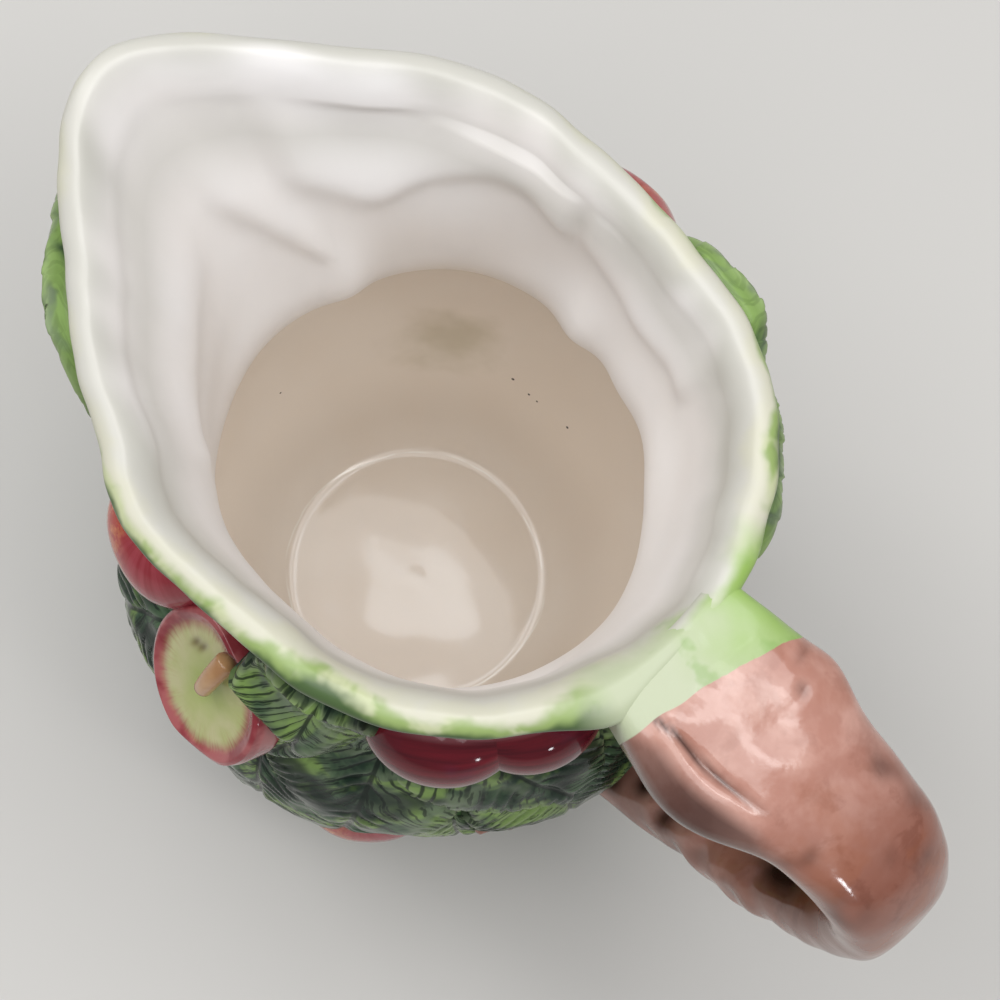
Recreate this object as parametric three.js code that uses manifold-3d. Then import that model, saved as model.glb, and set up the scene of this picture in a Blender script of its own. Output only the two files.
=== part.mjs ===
// Majolica fruit pitcher: a slip-cast earthenware jug with a pointed lip and a branch handle.
// Apples, plums, leaves and twigs are cast apart and stuck to the wall with slip, so each is its own solid.
// Millimetres. The origin is the middle of the flat foot, +Z is up, and the handle is towards +X.
// A place on the wall is a bearing, in degrees from +X towards +Y, and a level,
// its height on the pitcher's sides.
import * as THREE from "three";
import { mergeVertices } from "three/addons/utils/BufferGeometryUtils.js";
import Module from "manifold-3d";

const wasm = await Module();
wasm.setup();

// Rim and spout
const RIM_HEIGHT = 178; // table to the lip at the sides
const RIM_RADIUS = 56; // axis to the outside of the lip, away from the spout
const HANDLE_RISE = 5; // how far the lip climbs to the handle
const SPOUT_RISE = 23.5; // how far the lip climbs to the spout's tip
const SPOUT_REACH = 90; // axis to the spout's tip
const SPOUT_BLUNT = 12.5; // what rounding takes off the point where the spout's cheeks would meet
const SPOUT_HALF_ANGLE = 41.5; // between a cheek and the spout's middle plane, degrees
const SPOUT_GROWTH = 2.6; // how late above the belly the spout draws out
const RIM_SWOOP = 1.75; // how late the lip climbs to either end
const RIM_SHARPNESS = 14; // how tightly cheeks, nose and bowl round into each other

// Wall and foot
const WALL = 4.5; // thickness of the casting
const THROAT_DROP = 48; // rim to the narrowest ring
const THROAT_RADIUS = 46; // outside of the narrowest ring
const RIM_FLARE = 1.7; // how late above the throat the wall flares
const BELLY_HEIGHT = 76; // table to the widest ring
const BELLY_RADIUS = 63; // outside of the widest ring
const BOWL_FULLNESS = 0.75; // below 1 the bowl swells early above the foot
const FLOOR = 6; // thickness of the floor
const FOOT_RADIUS = 38.5; // outside of the foot
const FOOT_HEIGHT = 5; // foot's plain band
const FOOT_STEP = 1.5; // how far the wall starts inside the foot
const FOOT_CHAMFER = 1.2; // softened edge of the flat base

// Inside of the wall above the bowl
const LOBE_HEIGHT = 15; // how far above and below the throat its lobes die out
const RIDGE_UPPER = 7; // how far a ridge runs out above its crest
const RIDGE_LOWER = 2.6; // and below it, where it is steep
const RIDGE_END = 6; // how far from either end a ridge dies out, degrees

// Branch handle
const HANDLE_BEARING = -4; // it was stuck on a little askew
const HANDLE_REACH = 125; // axis to the outside of its bend
const HANDLE_BEND_DROP = 45; // rim to that outermost point
const HANDLE_JOINT_HEIGHT = 58; // table to the middle of the lower joint
const HANDLE_THICKNESS = 15.5; // across the branch, in the plane of the loop
const HANDLE_ROOT_WIDTH = 32; // where it spreads along the rim
const HANDLE_TOP_WIDTH = 31; // along its upper arm
const HANDLE_BEND_WIDTH = 26; // round the bend
const HANDLE_JOINT_WIDTH = 29; // at the lower joint
const HANDLE_TOP_SUNK = 2; // branch's upper face below the lip's crest
const HANDLE_EMBEDDED = 9; // how far inside the wall's outside its middle line starts and ends
const HANDLE_SPRING = 7; // how far its upper arm aims above level
const HANDLE_SPREAD = 0.1; // share of its run over which the root narrows
const HANDLE_SQUARENESS = 0.75; // 1 is an oval section, less is boxier
const HANDLE_ROLL = 7; // how far a rolled strand widens its near side
const HANDLE_ROLL_AT = 0.08; // share of its run where the strand is widest
const HANDLE_ROLL_RUN = 0.09; // share of its run over which the strand dies out

// Sprigs
const SLIP_GAP = 0.4; // slip joint between a sprig and what it lies on
const FRUIT_SWELL = 2.5; // how far the wall swells out behind a fruit
const LEAF_EDGE = 1.3; // thickness of a leaf's edge
const LEAF_DOME = 2.2; // its rise to the midrib
const LEAF_LAYER = 1.1; // added for each layer that it lies over
const SINK = 4; // how far a sprig is carried into the wall before it is trimmed to it
const APPLE_HEIGHT = 0.9; // apple's height over its width
const APPLE_SHOULDER = 0.07; // how much fuller it is towards the stalk
const APPLE_DIMPLE = 0.22; // depth of the stalk's hollow, of the radius
const APPLE_DIMPLE_SPREAD = 24; // spread of that hollow seen from the apple's middle, degrees
const APPLE_TILT = 35; // apple's stalk from straight up towards the outside, degrees
const HALF_APPLE_TILT = 18; // cut face from upright towards the sky, degrees
const HALF_APPLE_PROUD = 13; // cut face's middle in front of the wall
const HALF_APPLE_DISH = 0.8; // hollow of the cut face
const HALF_APPLE_DISH_SPREAD = 0.5; // how wide the hollow is, of the radius
const HALF_APPLE_FACE = 0.9; // cut face, of the radius
const HALF_APPLE_SKIN = 0.12; // rounding from the face to the skin, of the radius
const HALF_APPLE_FLANK = 0.35; // how far back the skin keeps its full width, of the radius
const HALF_APPLE_BACK = 0.7; // width left one radius behind the face, of the radius
const HALF_APPLE_DIP = 0.16; // dip of the outline at the stalk, of the radius
const HALF_APPLE_DIP_SPREAD = 26; // spread of that dip, degrees
const STALK_RADIUS = 2.3; // at its cut end
const STALK_TAPER = 0.8; // its other end, of that radius
const STALK_LENGTH = 12;
const STALK_SEAT = 0.5; // its middle above the cut face's middle, of the apple's radius
const PLUM_STRETCH = 1.25; // plum's length over its width
const TWIG_RADIUS = 3.6;
const TWIG_PROUD = 4.2; // how far a twig stands out of the wall
const TWIG_SWEEP = 1.5; // how late along its run a twig climbs
const LEAF_BASE_FULLNESS = 0.75; // below 1 a leaf is broadest nearer its stalk
const LEAF_SIDE_FULLNESS = 0.9; // below 1 its sides are fuller

// Facets
const FACETS_ROUND = 64; // round the wall
const FACETS_UP = 13; // up the wall
const RELIEF_FACETS = 17; // down the inside to under the throat
const BOWL_FACETS = 8; // from there to the floor
const SPOUT_CROWDING = 0.3; // how much closer together they are at the spout
const LIP_FACETS = 4;
const HANDLE_FACETS_ALONG = 24;
const HANDLE_FACETS_AROUND = 14;
const APPLE_FACETS_AROUND = 16;
const APPLE_FACETS_UP = 10;
const HALF_APPLE_FACETS = 20;
const STALK_FACETS = 10;
const PLUM_FACETS_AROUND = 14;
const PLUM_FACETS_UP = 8;
const LEAF_FACETS_ALONG = 8;
const LEAF_FACETS_ACROSS = 4;
const TWIG_FACETS_ALONG = 8;
const TWIG_FACETS_AROUND = 8;
const TWIG_PLACES = 4; // stretches that a twig's line is bent from
const PROBE = 0.5; // step that a direction on the wall is taken over
const WELD = 1e-4; // corners closer than this are one

const SPRIG_RIM = 178; // rim height that the levels below are given for

// Lobes that push the throat's inside out of round, with the spread of each in degrees
const THROAT_LOBES = [
  { bearing: -162, push: 2.8, spread: 24 },
  { bearing: 158, push: -2.4, spread: 7 },
  { bearing: 145, push: 1, spread: 8 },
  { bearing: 92, push: -3.6, spread: 9 },
  { bearing: 72, push: -1.5, spread: 10 },
  { bearing: 44, push: -5, spread: 26 },
];
// Soft ridges round the inside of the flare: how far each stands in, and the places its crest runs through
const RIDGES = [
  {
    proud: 2.2,
    crest: [[102, 160], [113, 166], [124, 167.5], [138, 162], [150, 156], [160, 160.5], [168, 162]],
  },
  { proud: 1.8, crest: [[159, 142], [168, 148], [171, 154], [181, 163]] },
  { proud: 1.4, crest: [[52, 159], [62, 160], [80, 156], [104, 164]] },
  { proud: 1.2, crest: [[182, 156], [200, 154.5], [218, 152], [226, 148]] },
];

// Fruit, each on its bearing and level, with its radius
const APPLES = {
  apple_left: { bearing: -130, level: 124, radius: 17.5, sunk: 0 },
  apple_back: { bearing: 100, level: 148, radius: 17.5, sunk: 0 },
  apple_low_front: { bearing: -64, level: 56, radius: 17, sunk: 11 },
  apple_low_spout: { bearing: -158, level: 76, radius: 18, sunk: 11 },
  apple_low_back: { bearing: 66, level: 64, radius: 18, sunk: 11 },
  apple_low_turn: { bearing: 160, level: 84, radius: 18, sunk: 10 },
};
// Half apples turn their cut face from straight out towards rising bearings, in degrees
const HALF_APPLES = {
  half_apple_front: { bearing: -100, level: 119, radius: 16.8, turn: -16 },
  half_apple_back: { bearing: 128, level: 123, radius: 18, turn: 8 },
};
const PLUMS = {
  plum_front_left: { bearing: -53, level: 148, radius: 11.5, sunk: 0, heading: 78 },
  plum_front_right: { bearing: -33, level: 149, radius: 10.5, sunk: 0, heading: 100 },
  plum_back_left: { bearing: 50, level: 126, radius: 11.5, sunk: 1, heading: 30 },
  plum_back_right: { bearing: 33, level: 120, radius: 11, sunk: 2, heading: -15 },
  plum_low_left: { bearing: -112, level: 46, radius: 12, sunk: 6, heading: 20 },
  plum_low_right: { bearing: -96, level: 52, radius: 11.5, sunk: 6, heading: -30 },
};

// Leaves from the top layer down: stalk end, heading in degrees from straight up towards rising bearings
const LEAVES = {
  leaf_front_rim: { bearing: -78, level: 166, heading: 187, length: 60, width: 28, layer: 3 },
  leaf_front_left: { bearing: -62, level: 140, heading: 214, length: 58, width: 33, layer: 2 },
  leaf_front_sweep: { bearing: -58, level: 134, heading: 150, length: 58, width: 33, layer: 2 },
  leaf_front_handle: { bearing: -18, level: 160, heading: 195, length: 54, width: 29, layer: 1 },
  leaf_front_middle: { bearing: -62, level: 126, heading: 183, length: 58, width: 32, layer: 1 },
  leaf_between: { bearing: -108, level: 112, heading: -160, length: 56, width: 28, layer: 2 },
  leaf_spout_front: { bearing: -141, level: 165, heading: -89, length: 32, width: 20, layer: 3 },
  leaf_spout_back: { bearing: 140, level: 160, heading: 88, length: 38, width: 26, layer: 2 },
  leaf_under_spout: { bearing: 178, level: 112, heading: 2, length: 58, width: 32, layer: 1 },
  leaf_spout_low: { bearing: -148, level: 108, heading: -10, length: 46, width: 29, layer: 1 },
  leaf_spout_turn: { bearing: 154, level: 108, heading: 4, length: 46, width: 29, layer: 1 },
  leaf_back_rim: { bearing: 88, level: 162, heading: -92, length: 36, width: 25, layer: 2 },
  leaf_back_handle: { bearing: 13, level: 161, heading: 90, length: 44, width: 27, layer: 2 },
  leaf_back_middle: { bearing: 78, level: 134, heading: 196, length: 52, width: 31, layer: 1 },
  leaf_back_fall: { bearing: 104, level: 116, heading: 172, length: 60, width: 31, layer: 1 },
  leaf_back_turn: { bearing: 128, level: 108, heading: 158, length: 58, width: 30, layer: 1 },
  leaf_low_handle: { bearing: -26, level: 108, heading: 178, length: 58, width: 31, layer: 1 },
  leaf_low_front: { bearing: -86, level: 92, heading: 178, length: 60, width: 31, layer: 1 },
  leaf_low_sweep: { bearing: -46, level: 82, heading: 168, length: 54, width: 29, layer: 0 },
  leaf_low_left: { bearing: -138, level: 94, heading: 190, length: 60, width: 30, layer: 1 },
  leaf_low_plums: { bearing: -104, level: 42, heading: 180, length: 30, width: 25, layer: 0 },
  leaf_low_spout: { bearing: -178, level: 90, heading: 182, length: 60, width: 31, layer: 0 },
  leaf_low_turn: { bearing: 142, level: 76, heading: 178, length: 52, width: 28, layer: 0 },
  leaf_low_back: { bearing: 44, level: 104, heading: 186, length: 64, width: 32, layer: 1 },
  leaf_low_foot: { bearing: 90, level: 68, heading: 192, length: 46, width: 27, layer: 0 },
  leaf_handle_back: { bearing: 20, level: 112, heading: 172, length: 50, width: 28, layer: 0 },
};
// Twigs that leave the handle's lower joint: where the far end lies on the wall
const TWIGS = {
  twig_front: { bearing: -42, level: 70 },
  twig_back: { bearing: 34, level: 66 },
};

const GLAZE = { roughness: 0.22, metalness: 0 };
const glazes = {
  white: new THREE.MeshStandardMaterial({ color: 0xded9d3, ...GLAZE }),
  bark: new THREE.MeshStandardMaterial({ color: 0xa86e5c, ...GLAZE }),
  apple: new THREE.MeshStandardMaterial({ color: 0xa03c3c, ...GLAZE }),
  flesh: new THREE.MeshStandardMaterial({ color: 0xd3d59c, ...GLAZE }),
  plum: new THREE.MeshStandardMaterial({ color: 0x611f2b, ...GLAZE }),
  leaf: new THREE.MeshStandardMaterial({ color: 0x4f6b45, ...GLAZE }),
};

const TURN = 2 * Math.PI;
const END_SHARE = 1 / 8; // of each end in the halfway point of a curve with two pulls
const PULL_SHARE = 3 / 8; // of each pull in it
const radians = THREE.MathUtils.degToRad;
const degrees = THREE.MathUtils.radToDeg;
// Signed turn from one bearing to another, within half a turn
const turnFrom = (from, to) => Math.atan2(Math.sin(to - from), Math.cos(to - from));
const throatHeight = RIM_HEIGHT - THROAT_DROP;
const lipBase = RIM_HEIGHT - WALL / 2;
for (const spot of [APPLES, HALF_APPLES, PLUMS, LEAVES, TWIGS].flatMap(Object.values)) {
  spot.level *= RIM_HEIGHT / SPRIG_RIM;
}
for (const place of RIDGES.flatMap(({ crest }) => crest)) place[1] *= RIM_HEIGHT / SPRIG_RIM;
const fruitSeats = [APPLES, HALF_APPLES, PLUMS].flatMap(Object.values);

// The rim seen from above: the soft least of a round bowl with straight sides, two cheeks and a nose.
function rimRadius(bearing) {
  const fromSpout = Math.abs(turnFrom(bearing, Math.PI));
  const cheekFacing = Math.PI / 2 - radians(SPOUT_HALF_ANGLE);
  const cheekPoint = SPOUT_REACH + SPOUT_BLUNT;
  const nose = (SPOUT_REACH ** -RIM_SHARPNESS - 2 * cheekPoint ** -RIM_SHARPNESS) ** (-1 / RIM_SHARPNESS);
  const side = fromSpout < Math.PI / 2 ? Math.sin(fromSpout) : 1;
  const closeness = [
    side / RIM_RADIUS,
    Math.cos(fromSpout - cheekFacing) / (cheekPoint * Math.cos(cheekFacing)),
    Math.cos(fromSpout + cheekFacing) / (cheekPoint * Math.cos(cheekFacing)),
    Math.cos(fromSpout) / nose,
  ];
  const sum = closeness.reduce((total, near) => total + Math.max(near, 0) ** RIM_SHARPNESS, 0);
  return sum ** (-1 / RIM_SHARPNESS);
}

// Outside of the wall away from spout and fruit
function roundRadius(level) {
  if (level < BELLY_HEIGHT) {
    const climb = Math.max(level - FOOT_HEIGHT, 0) / (BELLY_HEIGHT - FOOT_HEIGHT);
    const neck = FOOT_RADIUS - FOOT_STEP;
    return neck + (BELLY_RADIUS - neck) * Math.sin((Math.PI / 2) * climb) ** BOWL_FULLNESS;
  }
  if (level < throatHeight) {
    const climb = (level - BELLY_HEIGHT) / (throatHeight - BELLY_HEIGHT);
    return BELLY_RADIUS - (BELLY_RADIUS - THROAT_RADIUS) * (0.5 - 0.5 * Math.cos(Math.PI * climb));
  }
  const flare = (level - throatHeight) / (lipBase - throatHeight);
  return THROAT_RADIUS + (RIM_RADIUS - THROAT_RADIUS) * flare ** RIM_FLARE;
}

// The smooth bulge that a fruit presses through the wall
function swell(bearing, level) {
  const radius = roundRadius(level);
  return fruitSeats.reduce((sum, seat) => {
    const across = turnFrom(radians(seat.bearing), bearing) * radius;
    const away = (across ** 2 + (level - seat.level) ** 2) / seat.radius ** 2;
    return sum + FRUIT_SWELL * Math.exp(-away);
  }, 0);
}

// A point of the wall, pushed out or in along the radius
function wallPoint(bearing, level, push = 0) {
  const rim = rimRadius(bearing);
  const climb = Math.max(level - BELLY_HEIGHT, 0) / (lipBase - BELLY_HEIGHT);
  const spout = (rim - RIM_RADIUS) * climb ** SPOUT_GROWTH;
  const radius = roundRadius(level) + spout + swell(bearing, level) + push;
  const reach = rim * Math.cos(bearing);
  const slope = Math.abs(reach) / (reach < 0 ? SPOUT_REACH : RIM_RADIUS);
  const rise = (reach < 0 ? SPOUT_RISE : HANDLE_RISE) * slope ** RIM_SWOOP;
  const lift = rise * (Math.max(level - throatHeight, 0) / (lipBase - throatHeight)) ** 2;
  return around(radius, bearing, level + lift);
}

const bell = (distance, spread) => Math.exp(-((distance / spread) ** 2));

// How far a ridge stands in at a place: its crest's level is read between the places it runs through
function ridgeAt({ proud, crest }, bearing, level) {
  const [first, last] = [crest[0][0], crest[crest.length - 1][0]];
  const middle = (first + last) / 2;
  const along = middle + degrees(turnFrom(radians(middle), bearing));
  const end = Math.min(along - first, last - along) / RIDGE_END;
  if (end <= 0) return 0;
  const next = Math.max(crest.findIndex(([place]) => place >= along), 1);
  const [[from, low], [to, high]] = [crest[next - 1], crest[next]];
  const above = level - THREE.MathUtils.mapLinear(along, from, to, low, high);
  return proud * bell(above, above > 0 ? RIDGE_UPPER : RIDGE_LOWER) * THREE.MathUtils.smoothstep(end, 0, 1);
}

// How the inside leaves an even wall
function insideRelief(bearing, level) {
  const lobes = THROAT_LOBES.reduce((sum, lobe) => {
    const turn = degrees(turnFrom(radians(lobe.bearing), bearing));
    return sum + lobe.push * bell(turn, lobe.spread) * bell(level - throatHeight, LOBE_HEIGHT);
  }, 0);
  return RIDGES.reduce((sum, ridge) => sum - ridgeAt(ridge, bearing, level), lobes);
}

// Directions at a place on the wall: along rising bearings, up the wall, and straight out of it
function wallFrame(bearing, level) {
  const turn = PROBE / roundRadius(level);
  const across = wallPoint(bearing + turn, level).sub(wallPoint(bearing - turn, level)).normalize();
  const up = wallPoint(bearing, level + PROBE).sub(wallPoint(bearing, level - PROBE)).normalize();
  return { point: wallPoint(bearing, level), across, up, out: across.clone().cross(up).normalize() };
}

// A closed surface through rings of points; a ring of one point closes an end.
// Rings run anticlockwise seen from the last ring, so that the faces point out.
function loft(rings) {
  const positions = rings.flat().flatMap((point) => point.toArray());
  const triangles = [];
  let start = 0;
  rings.slice(1).forEach((next, k) => {
    const ring = rings[k];
    const nextStart = start + ring.length;
    const count = Math.max(ring.length, next.length);
    for (let i = 0; i < count; i++) {
      const j = (i + 1) % count;
      const [a, b] = [start + (i % ring.length), start + (j % ring.length)];
      const [c, d] = [nextStart + (j % next.length), nextStart + (i % next.length)];
      if (a !== b) triangles.push(a, b, c);
      if (c !== d) triangles.push(a, c, d);
    }
    start = nextStart;
  });
  const geometry = new THREE.BufferGeometry();
  geometry.setAttribute("position", new THREE.Float32BufferAttribute(positions, 3));
  geometry.setIndex(triangles);
  return geometry;
}

function solid(geometry) {
  const plain = geometry.clone();
  plain.deleteAttribute("normal");
  plain.deleteAttribute("uv");
  const merged = mergeVertices(plain, WELD);
  return new wasm.Manifold(
    new wasm.Mesh({
      numProp: 3,
      vertProperties: new Float32Array(merged.attributes.position.array),
      triVerts: new Uint32Array(merged.index.array),
    }),
  );
}

// What is left of a solid after cuts, without any scrap that a cut parts from it
function trimmed(shape, cutters) {
  const whole = cutters.reduce((left, cutter) => left.subtract(cutter), shape);
  const pieces = whole.decompose();
  return pieces.reduce((best, piece) => (piece.volume() > best.volume() ? piece : best));
}

function meshOf(shape, name, material) {
  const { vertProperties, triVerts } = shape.getMesh();
  const geometry = new THREE.BufferGeometry();
  geometry.setAttribute("position", new THREE.Float32BufferAttribute(vertProperties, 3));
  geometry.setIndex([...triVerts]);
  const mesh = new THREE.Mesh(geometry, material);
  mesh.name = name;
  return mesh;
}

// Bearings of the facets, closer together towards the spout
const bearings = Array.from({ length: FACETS_ROUND }, (_, i) => {
  const even = (TURN * i) / FACETS_ROUND;
  return even + SPOUT_CROWDING * Math.sin(even);
});
const levels = (from, to, count) =>
  Array.from({ length: count + 1 }, (_, i) => from + ((to - from) * i) / count);
const wallRing = (level, push) => bearings.map((bearing) => wallPoint(bearing, level, push));
const around = (radius, bearing, height) =>
  new THREE.Vector3(radius * Math.cos(bearing), radius * Math.sin(bearing), height);
const innerRing = (level) =>
  bearings.map((bearing) => wallPoint(bearing, level, insideRelief(bearing, level) - WALL));
const flatRing = (radius, height) => bearings.map((bearing) => around(radius, bearing, height));

// The casting: flat foot, outer wall, round lip, inner wall and floor
function vessel() {
  const underThroat = throatHeight - LOBE_HEIGHT;
  const lip = levels(0, Math.PI, LIP_FACETS).slice(1, -1).map((angle) => {
    const across = (WALL / 2) * (Math.cos(angle) - 1);
    const up = (WALL / 2) * Math.sin(angle);
    return bearings.map((bearing) => wallPoint(bearing, lipBase, across).add(new THREE.Vector3(0, 0, up)));
  });
  return loft([
    [new THREE.Vector3(0, 0, 0)],
    flatRing(FOOT_RADIUS - FOOT_CHAMFER, 0),
    flatRing(FOOT_RADIUS, FOOT_CHAMFER),
    ...levels(FOOT_HEIGHT, lipBase, FACETS_UP).map((level) => wallRing(level, 0)),
    ...lip,
    ...levels(lipBase, underThroat, RELIEF_FACETS).map(innerRing),
    ...levels(underThroat, FLOOR + WALL / 2, BOWL_FACETS).slice(1).map(innerRing),
    wallRing(FLOOR, -WALL - FOOT_STEP).map((point) => point.setZ(FLOOR)),
    [new THREE.Vector3(0, 0, FLOOR)],
  ]);
}

// The space of the wall and everything inside it, grown by the slip joint and carried up past the rim
function wallCutter() {
  const above = RIM_HEIGHT + SPOUT_RISE + HANDLE_THICKNESS;
  const rings = levels(FOOT_HEIGHT, lipBase, FACETS_UP).map((level) => wallRing(level, SLIP_GAP));
  const top = wallRing(lipBase, SLIP_GAP).map((point) => point.setZ(above));
  const under = wallRing(FOOT_HEIGHT, SLIP_GAP).map((point) => point.setZ(0));
  return loft([[new THREE.Vector3(0, 0, 0)], under, ...rings, top, [new THREE.Vector3(0, 0, above)]]);
}

// The handle's middle line in its own upright plane, a curve that starts and ends inside the wall.
// The pulls are set so that its halfway point is the outside of the bend.
function handleLine() {
  const crest = RIM_HEIGHT + HANDLE_RISE - HANDLE_TOP_SUNK;
  const root = { out: RIM_RADIUS - HANDLE_EMBEDDED, up: crest - HANDLE_THICKNESS / 2 };
  const joint = { out: roundRadius(HANDLE_JOINT_HEIGHT) - HANDLE_EMBEDDED, up: HANDLE_JOINT_HEIGHT };
  const bend = { out: HANDLE_REACH - HANDLE_THICKNESS / 2, up: RIM_HEIGHT - HANDLE_BEND_DROP };
  const pull = (bend.out - END_SHARE * (root.out + joint.out)) / (2 * PULL_SHARE);
  const high = root.up + HANDLE_SPRING;
  const low = (bend.up - END_SHARE * (root.up + joint.up)) / PULL_SHARE - high;
  return new THREE.CubicBezierCurve3(
    new THREE.Vector3(root.out, 0, root.up),
    new THREE.Vector3(pull, 0, high),
    new THREE.Vector3(pull, 0, low),
    new THREE.Vector3(joint.out, 0, joint.up),
  );
}

// Its width: spread along the rim, slimmest round the bend
function handleWidth(t) {
  const spread = (HANDLE_ROOT_WIDTH - HANDLE_TOP_WIDTH) * Math.exp(-((t / HANDLE_SPREAD) ** 2));
  const arms = THREE.MathUtils.lerp(HANDLE_TOP_WIDTH, HANDLE_JOINT_WIDTH, t);
  const waist = HANDLE_BEND_WIDTH - (HANDLE_TOP_WIDTH + HANDLE_JOINT_WIDTH) / 2;
  return arms + spread + waist * Math.sin(Math.PI * t) ** 2;
}

// A flattened branch carried round the loop, with a strand rolled over its near side at the root
function handle(grow = 0) {
  const line = handleLine();
  const soft = (value) => Math.sign(value) * Math.abs(value) ** HANDLE_SQUARENESS;
  const sideways = new THREE.Vector3(0, -1, 0);
  const rings = levels(0, 1, HANDLE_FACETS_ALONG).map((t) => {
    const outward = sideways.clone().cross(line.getTangent(t));
    const roll = HANDLE_ROLL * Math.exp(-(((t - HANDLE_ROLL_AT) / HANDLE_ROLL_RUN) ** 2));
    return levels(0, TURN, HANDLE_FACETS_AROUND).slice(1).map((angle) => {
      const half = handleWidth(t) / 2 + grow + roll * Math.max(Math.sin(angle), 0);
      return line.getPoint(t)
        .addScaledVector(outward, soft(Math.cos(angle)) * (HANDLE_THICKNESS / 2 + grow))
        .addScaledVector(sideways, soft(Math.sin(angle)) * half);
    });
  });
  const shape = loft([[line.getPoint(0)], ...rings, [line.getPoint(1)]]);
  return shape.rotateZ(radians(HANDLE_BEARING));
}

// Puts a shape made about the origin on the wall, its +Z along the given direction
function seat(geometry, point, axis, aside) {
  const side = aside.clone().cross(axis).normalize();
  const front = side.clone().cross(axis);
  const basis = new THREE.Matrix4().makeBasis(front, side, axis).setPosition(point);
  return geometry.applyMatrix4(basis);
}

function apple({ bearing, level, radius, sunk }, grow = 0) {
  const size = radius + grow;
  const profile = levels(Math.PI, 0, APPLE_FACETS_UP).map((angle) => {
    const dent = APPLE_DIMPLE * Math.exp(-((angle / radians(APPLE_DIMPLE_SPREAD)) ** 2));
    const girth = Math.sin(angle) * (1 + APPLE_SHOULDER * Math.cos(angle));
    return new THREE.Vector2(size * girth, size * (APPLE_HEIGHT * Math.cos(angle) - dent));
  });
  profile[0].x = 0;
  profile[profile.length - 1].x = 0;
  const shape = new THREE.LatheGeometry(profile, APPLE_FACETS_AROUND).rotateX(Math.PI / 2);
  const { point, up, out, across } = wallFrame(radians(bearing), level);
  const tilt = radians(APPLE_TILT);
  const stem = up.multiplyScalar(Math.cos(tilt)).addScaledVector(out, Math.sin(tilt));
  return seat(shape, point.addScaledVector(out, -sunk), stem, across);
}

// The middle of a half apple's cut face, and its directions: across, towards the stalk, and out of the face
function halfAppleFrame({ bearing, level, turn }) {
  const { point, up, out, across } = wallFrame(radians(bearing), level);
  const middle = point.addScaledVector(out, HALF_APPLE_PROUD);
  across.applyAxisAngle(up, radians(turn));
  const facing = across.clone().cross(up).applyAxisAngle(across, -radians(HALF_APPLE_TILT));
  const upward = facing.clone().cross(across);
  return new THREE.Matrix4().makeBasis(across, upward, facing).setPosition(middle);
}

// Half of an apple: the cut face's outline dips at the stalk, and the skin bulges behind it
function halfApple(spot, grow = 0) {
  const { radius } = spot;
  const outline = (share, depth) => levels(0, TURN, HALF_APPLE_FACETS).slice(1).map((angle) => {
    const aside = (angle - Math.PI / 2) / radians(HALF_APPLE_DIP_SPREAD);
    const size = radius * share * (1 - HALF_APPLE_DIP * Math.exp(-(aside ** 2))) + grow;
    return new THREE.Vector3(size * Math.cos(angle), size * Math.sin(angle), depth);
  });
  const shape = loft([
    [new THREE.Vector3(0, 0, -radius)],
    outline(HALF_APPLE_BACK, -radius),
    outline(1, -HALF_APPLE_FLANK * radius),
    outline(1, -HALF_APPLE_SKIN * radius),
    outline(HALF_APPLE_FACE, grow),
    outline(HALF_APPLE_DISH_SPREAD, grow - HALF_APPLE_DISH),
    [new THREE.Vector3(0, 0, grow - HALF_APPLE_DISH)],
  ]);
  return shape.applyMatrix4(halfAppleFrame(spot));
}

// The stalk that lies on a half apple's cut face, from the dip towards the middle
function stalk(spot, grow = 0) {
  const thin = STALK_TAPER * STALK_RADIUS;
  const length = STALK_LENGTH + 2 * grow;
  const shape = new THREE.CylinderGeometry(STALK_RADIUS + grow, thin + grow, length, STALK_FACETS);
  shape.translate(0, STALK_SEAT * spot.radius, STALK_RADIUS + SLIP_GAP);
  return shape.applyMatrix4(halfAppleFrame(spot));
}

function plum({ bearing, level, radius, sunk, heading }, grow = 0) {
  const shape = new THREE.SphereGeometry(1, PLUM_FACETS_AROUND, PLUM_FACETS_UP).rotateX(Math.PI / 2);
  shape.scale(radius + grow, radius + grow, radius * PLUM_STRETCH + grow);
  const { point, up, out, across } = wallFrame(radians(bearing), level);
  const turn = radians(heading);
  const axis = up.multiplyScalar(Math.cos(turn)).addScaledVector(across, Math.sin(turn));
  return seat(shape, point.addScaledVector(out, -sunk), axis, out);
}

// A leaf that follows the wall: pointed at both ends, thin at the edge and raised along its midrib
function leaf({ bearing, level, heading, length, width, layer }, grow = 0) {
  const turn = radians(heading);
  const top = SLIP_GAP + LEAF_EDGE + LEAF_LAYER * layer + grow;
  const lay = (across, forward, height) => {
    const aside = across * Math.cos(turn) + forward * Math.sin(turn);
    const rise = forward * Math.cos(turn) - across * Math.sin(turn);
    const spot = wallFrame(radians(bearing) + aside / roundRadius(level), level + rise);
    return spot.point.addScaledVector(spot.out, height);
  };
  const rings = levels(0, 1, LEAF_FACETS_ALONG).slice(1, -1).map((v) => {
    const outline = Math.sin(Math.PI * v ** LEAF_BASE_FULLNESS) ** LEAF_SIDE_FULLNESS;
    const half = (width / 2) * outline + grow;
    const dome = LEAF_DOME * Math.sin(Math.PI * v);
    const across = levels(-1, 1, LEAF_FACETS_ACROSS);
    const upper = across.map((u) => lay(u * half, v * length, top + dome * (1 - u * u)));
    const lower = [1, 0, -1].map((u) => lay(u * half, v * length, -SINK));
    return [...upper, ...lower];
  });
  return loft([[lay(0, -grow, top - LEAF_EDGE)], ...rings, [lay(0, length + grow, top - LEAF_EDGE)]]);
}

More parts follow.
